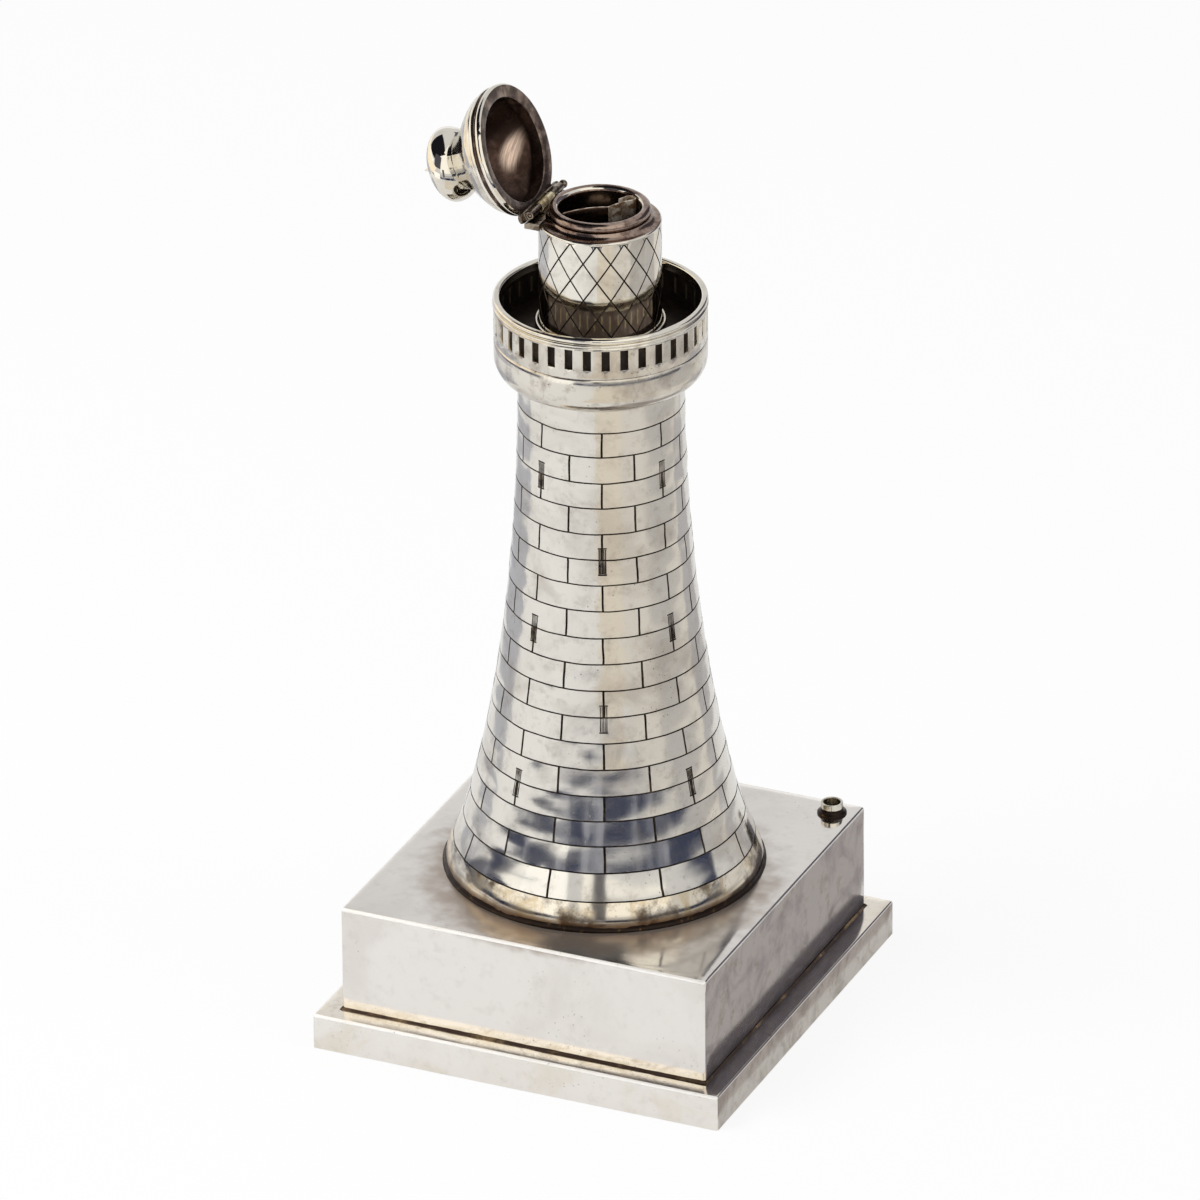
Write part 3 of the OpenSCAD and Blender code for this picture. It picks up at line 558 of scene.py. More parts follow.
def buildTower(height, wall, bricks, brickColumns, pillow, lineHalf, lineDepth, jointTurn, jointDepth,
               lineHand, swayHand, wallHand, **others):
    profile = [(towerRadius(z), z) for z in (0, 0.7, 1.4, 2.1, 2.8, 3.5, 4.2, 4.8)]
    for low, high in zip(courseLines, courseLines[1:]):
        for part in (0, 0.14, 0.3, 0.5, 0.7, 0.86):
            z = low + part * (high - low)
            swell = max(0.2, 1.35 - z / 26) * (0.3 - (2 * part - 1) ** 2)  # the low courses are the roundest
            profile.append((towerRadius(z) + pillow * swell, z))
    top = courseLines[-1]
    profile += [(towerRadius(z) - pillow * (0.14 if z == top else 0), z)
                for z in (top, top + 0.8, top + 2.4, top + 4, height)]
    profile += [(towerRadius(z) - wall, z) for z in [height * (1 - i / 16) for i in range(17)]]
    profile = closedRing([(r, z + towerBase) for r, z in profile])
    tower = turnProfile("towerWall", profile, bricks * brickColumns, viewerTurn)
    paintFaces(tower, 2, lambda middle, normal: middle.z < towerBase + courseLines[0] and towerPlace(middle))

    # both end bands and each brick are inset in turn, so that every line gets two lips and a floor
    setMode("EDIT")
    passes = [lambda course, brick: course < 0, lambda course, brick: course >= courses]
    for row in (0, 1):
        for side in (0, 1):
            passes.append(lambda course, brick, row=row, side=side:
                          0 <= course < courses and course % 2 == row and brick % 2 == side)
    for wanted in passes:
        def inPass(middle, normal):
            place = towerPlace(middle)
            return bool(place) and wanted(math.floor(place[0]), math.floor(place[1]) % bricks)
        selectFaces(tower, inPass)
        bpy.ops.mesh.inset(thickness=lineHalf * mm, depth=0)

    # the lips of the upright joints are drawn apart, because these were cut wider than the courses
    for side in (-1, 1):
        selectVerts(tower, lambda point: 0.002 < side * jointGap(point) < 0.03)
        bpy.ops.transform.rotate(value=-side * math.radians(jointTurn), orient_axis="Z",
                                 center_override=(0, 0, 0))
    selectVerts(tower, onCourseLine)
    sinkLines(tower, lineDepth)
    selectVerts(tower, lambda point: abs(jointGap(point)) < 0.002)
    sinkLines(tower, jointDepth)
    setMode("OBJECT")
    handRaise(tower, *lineHand, "Z")
    handRaise(tower, *swayHand, "X")
    handRaise(tower, *swayHand, "Y")
    handRaise(tower, *wallHand)
    for finish in (towerSilver, cutLine, footSilver):
        tower.data.materials.append(finish)
    return tower


windowShape = {
    "strokes": [(-0.58, 0.16), (-0.28, 0.135), (0, 0.135), (0.28, 0.135), (0.58, 0.16)],  # place, half width
    "strokeH": 4.7, "strokeOut": 0.03, "tickW": 1.6, "tickR": 0.17, "tickZ": 2.54, "tickOut": 0.02,
    "drop": 0.3, "places": [(16, 0.5), (10, 0.5), (4, 0.5), (13, 0), (7, 0)],  # course line, quarters turned
}


def windowCutter(strokes, strokeH, strokeOut, tickW, tickR, tickZ, tickOut, **others):
    # five upright strokes and two ticks: square rods, corner inwards, that leave a v cut
    rods = [addRod(4, radius, strokeH, (x, strokeOut, 0)) for x, radius in strokes]
    rods += [addRod(4, tickR, tickW, (0, tickOut, z), math.pi / 2) for z in (-tickZ, tickZ)]
    cutter = joinPieces(rods)
    settle(cutter, cutter.matrix_world.copy())
    return cutter


def cutWindows(tower):
    first = windowCutter(**windowShape)
    cutters = []
    for line, turn in windowShape["places"]:
        z = courseLines[line] - windowShape["drop"]
        lean = math.atan2(towerRadius(z - 2) - towerRadius(z + 2), 4)
        for quarter in range(4):
            angle = viewerTurn + (quarter + turn) * math.pi / 2
            east, north = math.cos(angle), math.sin(angle)
            out = Vector((east * math.cos(lean), north * math.cos(lean), math.sin(lean)))
            rise = Vector((-east * math.sin(lean), -north * math.sin(lean), math.cos(lean)))
            spot = Vector((towerRadius(z) * east, towerRadius(z) * north, z + towerBase))
            cutters.append(copyPiece(first, "windowCut"))
            settle(cutters[-1], Matrix.Translation(spot * mm)
                   @ Matrix((out.cross(rise), out, rise)).transposed().to_4x4())
    cutter = joinPieces(cutters)
    cutter.data.materials.append(cutLine)
    applyModifier(tower, "BOOLEAN", operation="DIFFERENCE", solver="EXACT", object=cutter,
                  material_mode="TRANSFER")
    bpy.data.objects.remove(cutter)
    bpy.data.objects.remove(first)


tower = buildTower(**towerShape)
cutWindows(tower)
finishPiece(tower, "base", ["tower_shell"], [], 24)
print("tower:", len(tower.data.polygons), "faces")


galleryShape = {
    "cupZ": 125.2, "bandZ": 132.9, "railZ": 139.2, "r": 19.15, "wall": 0.9, "cupRound": 4.2, "cupInner": 14.1,
    "slots": 36, "slotTurn": 6.5, "slotW": 1.4, "slotLow": 1.9, "slotH": 3.8, "slotDepth": 0.78,
    "slotBevel": 0.09, "groove": 0.2, "railIn": 0.25, "railH": 1.7, "bead": 0.3, "deckR": 18.7, "deckH": 0.8,
    "seatR": 11.8, "skinRim": 0.4, "paleFront": 0.1,  # how far round the inner wall is painted paler, as a cosine
    "cupStep": 1.6, "cupHand": (7.0, 0.06), "bandHand": (3.0, 0.05), "railHand": (4.0, 0.04),
    "deckHand": (4.0, 0.08),
}


def buildCup(r, wall, groove, cupZ, cupRound, cupInner, cupStep, cupHand, bandZ, **others):
    centre = (r - cupRound, cupZ + cupRound)
    profile = [(cupInner, cupZ)] + arcPoints(centre, cupRound, -90, 0, 16)
    profile += [(r, bandZ - cupStep), (r, bandZ - groove * 1.5), (r - groove * 0.4, bandZ - groove * 0.7),
                (r - groove, bandZ), (r - wall, bandZ)]
    profile += arcPoints(centre, cupRound - wall, 0, -90, 8) + [(cupInner, cupZ + wall)]
    cup = turnProfile("galleryCup", closedRing(profile), 128)
    handRaise(cup, *cupHand)
    finishPiece(cup, "base", ["gallery_cup"], [gallerySilver])


def buildBalustrade(r, wall, groove, bandZ, railZ, deckR, deckH, slots, slotTurn, slotW, slotLow, slotH,
                    slotDepth, slotBevel, skinRim, paleFront, bandHand, **others):
    # one bay of the pierced band is modelled, then copied round
    inner = r - wall
    low = bandZ + slotLow
    high = low + slotH
    half = low + slotH / 2
    deckZ = bandZ + deckH
    profile = [(r - groove, bandZ), (r - groove * 0.4, bandZ + groove * 0.7), (r, bandZ + groove * 1.5),
               (r, low), (r, half), (r, high), (r, railZ - groove * 1.5), (r - groove, railZ), (inner, railZ),
               (inner, high), (inner, half), (inner, low), (inner, deckZ), (deckR, deckZ), (deckR, bandZ)]
    bayAngle = math.tau / slots
    slotAngle = slotW / r
    start = math.radians(slotTurn) - bayAngle / 2
    rest = (bayAngle - slotAngle) / 2
    bay = turnProfile("balustrade", closedRing(profile), start=start,
                      sweep=[(2, rest), (2, slotAngle), (2, rest)])

    def inSlot(middle, normal):
        turn = math.atan2(middle.y, middle.x) - start
        return low < middle.z < high and rest < turn < rest + slotAngle and abs(normal.z) < 0.5

    def onMouth(edge):
        return edge.calc_face_angle(0) > 1.2 and all(
            low - 0.01 < vert.co.z / mm < high + 0.01 and radiusOf(vert.co) / mm > r - 0.05
            and rest * 0.9 < math.atan2(vert.co.y, vert.co.x) - start < bayAngle - rest * 0.9
            for vert in edge.verts)

    # each slot is cut from the outside, and a thin skin is left at its back; it is painted with what an open
    # slot shows: painted shade outside, painted dim light inside at the back, painted glints inside at the
    # front
    setMode("EDIT")
    selectFaces(bay, lambda middle, normal: inSlot(middle, normal) and radiusOf(middle) > deckR)
    sunk = 1 - slotDepth / r
    bpy.ops.mesh.extrude_region_move()
    bpy.ops.transform.resize(value=(sunk, sunk, 1), center_override=(0, 0, 0))
    selectParts(bay, "EDGE", onMouth)
    bpy.ops.mesh.bevel(offset=slotBevel * mm, segments=2, affect="EDGES")
    selectFaces(bay, lambda middle, normal: inSlot(middle, normal) and radiusOf(middle) < inner + 0.02)
    bpy.ops.mesh.inset(thickness=skinRim * mm, depth=0)
    setMode("OBJECT")
    # the slots' outer backs are painted near black: painted shade for the dark inside of the gallery
    paintFaces(bay, 1, lambda middle, normal: inSlot(middle, normal)
               and abs(radiusOf(middle) - (r - slotDepth)) < 0.05)
    for face in bay.data.polygons:  # what the inset left selected is the slot's thin skin
        if face.select:
            face.material_index = 2
    for finish in (gallerySilver, sootAndSlotShade, slotSkinPaintedDim, smokedWall, slotSkinPaintedGlint):
        bay.data.materials.append(finish)
    bays = [bay]
    for i in range(1, slots):
        bays.append(copyPiece(bay, "balustradeBay"))
        settle(bays[i], Matrix.Rotation(i * bayAngle, 4, "Z"))
    band = joinPieces(bays)
    setMode("EDIT")
    weld(2e-6)
    bpy.ops.mesh.normals_make_consistent(inside=False)
    setMode("OBJECT")
    for face in band.data.polygons:  # the front's inner wall, which the drum mirrors, is painted paler and its slot backs bright: painted light
        if radiusOf(face.center) / mm < inner + 0.02:
            skin = face.material_index == 2
            if math.cos(math.atan2(face.center.y, face.center.x) - viewerTurn) > paleFront:
                face.material_index = 4 if skin else 3
            else:
                face.material_index = 2 if skin else 1
    handRaise(band, *bandHand)
    finishPiece(band, "base", ["gallery_band"], [], 35)


def buildRail(r, wall, groove, bead, railIn, railH, railZ, railHand, **others):
    inner = r - wall - railIn
    beadR = r - bead / 2
    profile = [(inner, railZ), (r - groove, railZ)]
    profile += arcPoints((beadR, railZ + bead), bead, -60, 60, 8) + [(beadR - 0.1, railZ + 2 * bead)]
    profile += arcPoints((r - railH / 4, railZ + railH * 0.7), railH * 0.3, -10, 90, 10)
    profile += arcPoints((inner + railH / 4, railZ + railH * 0.75), railH * 0.25, 90, 180, 8)
    rail = turnProfile("handRail", closedRing(profile), 144)
    handRaise(rail, *railHand)
    finishPiece(rail, "base", ["gallery_rail"], [brightSilver])


def buildDeck(bandZ, deckR, deckH, deckHand, seatR, **others):
    top = [(seatR + (deckR - seatR) * i / 8, bandZ + deckH) for i in range(9)]
    deck = turnProfile("galleryDeck", closedRing(top + [(deckR, bandZ), (seatR, bandZ)]), 96)
    handRaise(deck, *deckHand, "Z", 1.0)
    finishPiece(deck, "base", ["gallery_deck"], [sootAndSlotShade])


for build in (buildCup, buildBalustrade, buildRail, buildDeck):
    build(**galleryShape)
print("gallery ready")


lanternShape = {
    "seatIn": 11.15, "seatOut": 11.8, "seatLow": 127.15, "restZ": 127.8, "seatTop": 136.4, "ledge": 9.15,
    "seatRings": (133.7, 134.8), "r": 11.05, "wall": 0.7, "low": 128.6, "shoulderZ": 155.4, "panes": 14,
    "paneH": 7.2, "paneTurn": 8.0, "lineHalf": 0.13, "lineDepth": 0.12, "cells": 3, "edge": 0.4, "lip": 0.15,
    "shoulderH": 1.5, "neckR": 7.3, "neckWall": 0.5, "bead": 0.95, "neckDepth": 7.6, "palerPart": (118, 152),
    "seatHand": (3.0, 0.04), "drumHand": (5.0, 0.08), "shoulderHand": (3.0, 0.05), "neckHand": (2.5, 0.06),
}


def buildSeat(seatIn, seatOut, seatLow, seatTop, seatRings, seatHand, restZ, ledge, **others):
    half = (seatOut - seatIn) / 2
    crown = seatTop - half
    profile = [(ledge, seatLow), (seatOut, seatLow)] + [(seatOut, z) for z in (*seatRings, crown)]
    profile += arcPoints((seatOut - half, crown), half, 12, 168, 8)
    profile += [(seatIn, crown), (seatIn, restZ), (ledge, restZ)]
    seat = turnProfile("lanternSeat", closedRing(profile), 96)
    handRaise(seat, *seatHand)
    finishPiece(seat, "base", ["lantern_seat"], [brightSilver])


def buildDrum(r, wall, low, shoulderZ, panes, paneH, paneTurn, cells, lineHalf, lineDepth, drumHand,
              **others):
    rowH = paneH / 2 / cells
    rows = int((shoulderZ - low) / rowH)
    heights = [low] + [shoulderZ - rowH * i for i in range(rows, -1, -1)]
    start = math.radians(paneTurn)
    drum = turnProfile("lanternDrum", [(r, z) for z in heights], panes * 2 * cells, start)

    def lattice(point):
        # the two diagonals through a point, counted in half panes round the drum and down from the shoulder
        x = ((math.atan2(point.y, point.x) - start) % math.tau) / math.tau * panes * 2
        y = (shoulderZ - point.z) / (paneH / 2)
        return x + y, x - y

    def onLine(point):
        return any(abs(v - 2 * round(v / 2)) < 0.02 for v in lattice(point))

    setMode("EDIT")
    selectVerts(drum, onLine)
    bpy.ops.mesh.vert_connect()
    for row in (0, 1):
        for side in (0, 1):
            selectFaces(drum, lambda middle, normal:
                        [math.floor(v / 2) % 2 for v in lattice(middle)] == [row, side])
            bpy.ops.mesh.inset(thickness=lineHalf * mm, depth=0)
    selectVerts(drum, onLine)
    sinkLines(drum, lineDepth)
    setMode("OBJECT")
    handRaise(drum, *drumHand, level=1.0)
    applyModifier(drum, "SOLIDIFY", thickness=wall * mm, offset=-1)
    return finishPiece(drum, "lantern", ["lantern_drum"], [lanternSilver, cutLine], 38)


def buildShoulder(r, shoulderZ, shoulderH, shoulderHand, edge, lip, neckR, neckWall, bead, **others):
    foot = neckR + 2 * bead
    top = shoulderZ + shoulderH
    centre = (r - edge, shoulderZ + lip)
    profile = [(r, shoulderZ)] + arcPoints(centre, edge, 0, 75, 8)
    profile += bezierPoints((r - edge, centre[1] + edge),
                            (foot + shoulderH * 0.4, shoulderZ + shoulderH * 0.4),
                            (foot + shoulderH * 0.13, shoulderZ + shoulderH * 0.6), (foot, top), 10)
    profile += [(neckR + neckWall, top), (neckR + neckWall, shoulderZ)]
    shoulder = turnProfile("lanternShoulder", closedRing(profile), 96)
    paintFaces(shoulder, 1, lambda middle, normal: radiusOf(middle) > r - edge * 0.6)
    handRaise(shoulder, *shoulderHand)
    finishPiece(shoulder, "lantern", ["lantern_shoulder"], [brownedSilver, brightSilver])


def buildNeck(shoulderZ, shoulderH, neckR, neckWall, neckDepth, neckHand, bead, palerPart, **others):
    top = shoulderZ + shoulderH
    beadR, beadZ = neckR + bead, top + bead * 0.8
    low = beadZ + bead - neckDepth
    profile = [(neckR, low), (neckR + neckWall, low), (neckR + neckWall, top), (neckR + 2 * bead * 0.72, top)]
    profile += arcPoints((beadR, beadZ), bead, -50, 180, 24) + [(neckR, beadZ - 2.5)]
    neck = turnProfile("lanternNeck", closedRing(profile), 96)

    def onRubbed(middle, normal):
        # the lid and the cloth keep the inner edge of the bead bright
        return palerPart[0] < math.degrees(math.atan2(middle.z - beadZ, radiusOf(middle) - beadR)) < palerPart[1]

    paintFaces(neck, 1, onRubbed)
    handRaise(neck, *neckHand)
    finishPiece(neck, "lantern", ["lantern_neck"], [brownedSilver, brightSilver], 40)


buildSeat(**lanternShape)
drum = buildDrum(**lanternShape)
buildShoulder(**lanternShape)
buildNeck(**lanternShape)
print("lantern ready, drum", len(drum.data.polygons), "faces")


# the lid is turned closed and then swung open about its hinge
lidShape = {
    "hingeX": -10.6, "hingeZ": 157.26, "open": 112.5, "mouthZ": 158.86, "mouthR": 9.5, "rimR": 12.05,
    "lipH": 1.3, "beadH": 1.6, "domeR": 11.2, "domeH": 7.6, "throatR": 5.05, "wall": 0.8,
    "ballR": 6.85, "ballLow": 3.2, "ballHigh": 3.1, "spikeL": 2.7, "spikeR": 0.55, "mouthFall": 0.42,
    "lipIn": 0.35, "mouthEdge": 0.4, "rimHand": (3.0, 0.05), "domeHand": (4.0, 0.07), "ballHand": (5.0, 0.07),
}
hinge = Vector((lidShape["hingeX"], 0, lidShape["hingeZ"])) * mm
lidOpen = (Matrix.Translation(hinge) @ Matrix.Rotation(math.radians(-lidShape["open"]), 4, "Y")
           @ Matrix.Translation(-hinge))
domeZ = lidShape["mouthZ"] + lidShape["lipH"] + lidShape["beadH"]
throatZ = domeZ + lidShape["domeH"]
ballZ = throatZ + lidShape["ballLow"]


def buildRim(mouthZ, mouthR, mouthFall, mouthEdge, rimR, rimHand, lipH, lipIn, beadH, domeR, **others):
    bead = beadH / 2
    lip = lipH / 2
    face = rimR - lipIn - mouthR
    profile = arcPoints((rimR - lipIn, mouthZ + mouthFall), face, 180, 270, 10, mouthFall)
    profile += arcPoints((rimR - lip, mouthZ + lip), lip, -40, 40, 10) + [(rimR - lip, mouthZ + lipH)]
    profile += arcPoints((domeR - bead * 0.3, mouthZ + lipH + bead), bead, -70, 70, 14)
    profile += [(domeR, domeZ), (mouthR + mouthEdge, domeZ), (mouthR, domeZ - mouthEdge)]
    rim = turnProfile("lidRim", closedRing(profile), 128)
    paintFaces(rim, 1, lambda middle, normal: radiusOf(middle) < mouthR + 0.1
               or radiusOf(middle) < rimR - 0.3 and normal.z < 0)
    handRaise(rim, *rimHand)
    settle(rim, lidOpen)
    finishPiece(rim, "lid", ["lid_rim"], [brightSilver, lidMouth], 35)


def buildDome(domeR, domeH, domeHand, throatR, wall, **others):
    outer = bezierPoints((domeR, domeZ), (domeR + 0.3, domeZ + domeH * 0.22),
                         (throatR + 1.3, domeZ + domeH * 0.67), (throatR, throatZ), 24)
    inner = [(domeR - wall, domeZ)]
    for before, (r, z), after in zip(outer, outer[1:], outer[2:]):
        run = Vector((after[0] - before[0], after[1] - before[1])).normalized()
        if domeZ < z + wall * run.x < throatZ - wall:
            inner.append((r - wall * run.y, z + wall * run.x))
    profile = [(0, throatZ - wall), (inner[-1][0] * 0.6, throatZ - wall)] + inner[::-1] + outer
    dome = turnProfile("lidDome", profile + [(throatR / 2, throatZ), (0, throatZ)], 128)
    paintFaces(dome, 1, lambda middle, normal: normal.z < -0.6
               or Vector((middle.x, middle.y, 0)).normalized().dot(normal) < -0.05)
    handRaise(dome, *domeHand)
    settle(dome, lidOpen)
    finishPiece(dome, "lid", ["lid_dome"], [domeSilver, lidInside], 50)


def buildBall(throatR, ballR, ballLow, ballHigh, ballHand, **others):
    seat = math.degrees(math.acos(throatR / ballR))
    profile = [(0, throatZ), (throatR / 2, throatZ)]
    profile += arcPoints((0, ballZ), ballR, -seat, 0, 10, ballLow / math.sin(math.radians(seat)))
    profile += arcPoints((0, ballZ), ballR, 6, 90, 22, ballHigh)
    ball = turnProfile("finialBall", profile, 96)
    handRaise(ball, *ballHand)
    settle(ball, lidOpen)
    finishPiece(ball, "lid", ["finial_ball"], [brightSilver], 60)


def buildSpike(ballHigh, spikeL, spikeR, **others):
    foot = ballZ + ballHigh - 0.05
    tip = foot + spikeL
    profile = [(0, foot), (spikeR * 0.95, foot), (spikeR, foot + 0.12), (spikeR * 0.78, foot + spikeL * 0.4),
               (spikeR * 0.45, tip - 0.3)] + arcPoints((0, tip - 0.2), spikeR * 0.38, 10, 90, 5, 0.2)
    spike = turnProfile("finialSpike", profile, 32)
    settle(spike, lidOpen)
    finishPiece(spike, "lid", ["finial_spike"], [brightSilver], 60)


for build in (buildRim, buildDome, buildBall, buildSpike):
    build(**lidShape)
print("lid ready")


# the hinge is filed blocks soldered on, softened by years of use
hingeShape = {
    "voxel": 0.09, "soften": 3, "blockHand": (1.2, 0.06), "knuckleR": 0.92,
    "pinR": 0.35, "pinEdge": 0.08, "ballR": 0.8, "pinFront": -6.9, "pinBack": 7.8,
    "clipBevel": 0.05, "clipTurn": 24, "clipBend": 1.9,  # the strip's direction, and where it bends up
}


def softenSolid(node, name, body, finishes):
    # the solid's own shape, remeshed fine so that its corners run together like solder
    piece = freeSolid(node, name)
    setMode("OBJECT")
    applyModifier(piece, "REMESH", mode="VOXEL", voxel_size=hingeShape["voxel"] * mm)
    applyModifier(piece, "SMOOTH", factor=0.5, iterations=hingeShape["soften"])
    handRaise(piece, *hingeShape["blockHand"], level=0.7)
    if len(finishes) > 1:  # the second is for the knuckle, painted pale as a painted highlight
        reach = hingeShape["knuckleR"]
        paintFaces(piece, 1, lambda middle, normal: (middle.xz - hinge.xz / mm).length < reach)
    finishPiece(piece, body, [node], finishes, 60)


def buildPin(pinR, pinEdge, ballR, pinFront, pinBack, **others):
    profile = [(0, pinFront), (pinR * 0.8, pinFront), (pinR, pinFront + pinEdge)]
    profile += arcPoints((0, pinBack), ballR, -64, 90, 18)
    pin = turnProfile("hingePin", profile, 32)
    settle(pin, Matrix.Translation(hinge) @ Matrix.Rotation(math.radians(-90), 4, "X"))
    finishPiece(pin, "lantern", ["hinge_pin"], [hingeSilver], 50)


def buildClip(clipBevel, clipTurn, clipBend, **others):
    clip = freeSolid("wick_clip", "neckSpring")
    bpy.ops.mesh.dissolve_limited(angle_limit=math.radians(1))
    setMode("OBJECT")
    applyModifier(clip, "BEVEL", width=clipBevel * mm, segments=2, limit_method="ANGLE",
                  angle_limit=math.radians(60))
    along = Vector((math.cos(math.radians(clipTurn)), math.sin(math.radians(clipTurn)), 0))
    paintFaces(clip, 1, lambda middle, normal: middle.dot(along) > clipBend)  # the wand has rubbed this end
    finishPiece(clip, "lantern", ["wick_clip"], [brownedSilver, springMetal], 40)


softenSolid("hinge_bracket", "hingeBracket", "lantern", [hingeSilver, knuckleSilver])
softenSolid("lid_hinge_lugs", "lidHingeLeaf", "lid", [hingeSilver])
buildPin(**hingeShape)
buildClip(**hingeShape)
print("hinge and spring strip ready")


# the base is sheet, folded and soldered, with a socket for the lighting wand
baseShape = {
    "flangeW": 80.0, "flangeD": 82.0, "flangeH": 6.8, "flangeWall": 1.2, "flangeIn": 3.0,
    "plinthW": 71.8, "plinthD": 73.8, "plinthH": 20.6, "plinthWall": 1.0, "corner": 0.5,
    "grid": 2.4, "sheetHand": (16.0, 0.14),
    "seam": 0.42, "seamGrid": 1.2, "seamWall": 0.1, "seamHand": (1.6, 0.16),
    "towerSeamW": 0.75, "towerSeamH": 1.0, "towerSeamIn": 0.02, "towerSeamHand": (1.5, 0.2),
    "wandX": 31.3, "wandY": 32.3, "wandTop": 29.7, "wandLow": 11.25, "wandBore": 1.6, "wandWall": 0.45,
    "wandLip": 0.12, "wandLipIn": 0.1,
    "washerR": 2.75, "washerT": 0.45, "coneH": 1.3, "washerHand": (1.0, 0.12),
}


def foldedBox(name, width, depth, low, height, corner):
    # a box with no underside and rounded folds
    box = addBox(name, width, depth, low, height)
    selectParts(box, "EDGE", lambda edge: not all(vert.co.z / mm < low + 0.01 for vert in edge.verts))
    bpy.ops.mesh.bevel(offset=corner * mm, segments=4, affect="EDGES")
    selectFaces(box, lambda middle, normal: normal.z < -0.9)
    bpy.ops.mesh.delete(type="FACE")
    return box


def bisectAt(axis, place):
    # in edit mode: cuts right across an axis, at that place in mm
    spot = [0, 0, 0]
    spot[axis] = place * mm
    bpy.ops.mesh.select_all(action="SELECT")
    bpy.ops.mesh.bisect(plane_co=spot, plane_no=[float(axis == n) for n in range(3)])


def gridFlats(box, step):
    # cuts the sides into squares of about that step, fine enough to carry the dents of the sheet
    size = [box.dimensions[axis] / mm for axis in range(3)]
    low = [min(vert.co[axis] for vert in bmesh.from_edit_mesh(box.data).verts) / mm for axis in range(3)]
    for axis in range(3):
        count = max(1, round(size[axis] / step))
        for i in range(1, count):
            bisectAt(axis, low[axis] + size[axis] * i / count)


def paintSides(box, ledge=False):
    # two sides are stained, the front's top fold is painted pale as a painted highlight, and the ledge is
    # creamed by polish and painted paler
    # the ledge's top: cream from dried polish, and painted paler as painted light
    if ledge:
        paintFaces(box, 3, lambda middle, normal: normal.z > 0.9)
    paintFaces(box, 2, lambda middle, normal: normal.z > 0.12 and normal.y < -0.12)
    # on the plinth, these sides also carry painted shade along their foot
    paintFaces(box, 1, lambda middle, normal: normal.x > 0.9 or normal.y > 0.9)


def buildPlinth(flangeH, plinthW, plinthD, plinthH, plinthWall, corner, grid, sheetHand,
                wandX, wandY, wandBore, wandWall, **others):
    box = foldedBox("plinthBox", plinthW, plinthD, flangeH, plinthH, corner)
    gridFlats(box, grid)
    setMode("OBJECT")
    handRaise(box, *sheetHand)
    applyModifier(box, "SOLIDIFY", thickness=plinthWall * mm, offset=-1)
    drill = addRod(48, wandBore + wandWall, 6, (wandX, wandY, flangeH + plinthH))
    applyModifier(box, "BOOLEAN", operation="DIFFERENCE", solver="EXACT", object=drill)
    bpy.data.objects.remove(drill)
    paintSides(box)
    finishPiece(box, "base", ["plinth_box"], [plinthSilver, sideSilver, foldSilver], 40)


def buildFlange(flangeW, flangeD, flangeH, flangeWall, flangeIn, plinthW, plinthD, corner, grid, sheetHand,
                **others):
    box = foldedBox("footFlange", flangeW, flangeD, 0, flangeH, corner)
    opening = (plinthW / 2 - flangeIn, plinthD / 2 - flangeIn)
    for axis in (0, 1):
        for side in (-1, 1):
            bisectAt(axis, side * opening[axis])
    selectFaces(box, lambda middle, normal: normal.z > 0.9 and abs(middle.x) < opening[0]
                and abs(middle.y) < opening[1])
    bpy.ops.mesh.delete(type="FACE")
    gridFlats(box, grid)
    setMode("OBJECT")
    handRaise(box, *sheetHand, level=0.8)
    applyModifier(box, "SOLIDIFY", thickness=flangeWall * mm, offset=-1)
    paintSides(box, ledge=True)
    finishPiece(box, "base", ["base_flange"],
                [flangeSilver, flangeSideSilver, foldSilver, ledgeSilver], 40)


def buildPlinthSeam(flangeH, plinthW, plinthD, seam, seamGrid, seamWall, seamHand, **others):
    low = flangeH
    fillet = addBox("plinthSeam", plinthW + 2 * seam, plinthD + 2 * seam, low, seam)
    # the top is drawn in to the plinth's wall, and the middle taken out, which leaves a thin frame
    selectVerts(fillet, lambda point: point.z > low + seam / 2)
    bpy.ops.transform.resize(value=((plinthW + 0.2) / (plinthW + 2 * seam),
                                    (plinthD + 0.2) / (plinthD + 2 * seam), 1))
    selectFaces(fillet, lambda middle, normal: abs(normal.z) < 0.9)
    bpy.ops.mesh.select_all(action="INVERT")
    bpy.ops.mesh.delete(type="FACE")
    gridFlats(fillet, seamGrid)
    setMode("OBJECT")
    handRaise(fillet, *seamHand, level=0.7)
    applyModifier(fillet, "SOLIDIFY", thickness=seamWall * mm, offset=-1)
    finishPiece(fillet, "base", ["plinth_seam"], [baseSolder], 60)


def buildTowerSeam(towerSeamW, towerSeamH, towerSeamIn, towerSeamHand, **others):
    foot = towerRadius(0)
    edge = towerRadius(towerSeamH)
    low = towerBase + towerSeamH * 0.1
    profile = [(towerRadius(z) - towerSeamIn, z + towerBase) for z in (towerSeamH, towerSeamH / 2, 0.0)]
    profile += [(foot + towerSeamW, towerBase)]
    profile += bezierPoints((foot + towerSeamW, low), (foot + towerSeamW * 0.4, low),
                            (edge + 0.1, towerBase + towerSeamH * 0.55),
                            (edge - towerSeamIn, towerBase + towerSeamH), 8)
    fillet = turnProfile("towerSeam", closedRing(profile), 192)
    handRaise(fillet, *towerSeamHand, level=0.6)
    finishPiece(fillet, "base", ["tower_seam"], [leadSolder], 60)


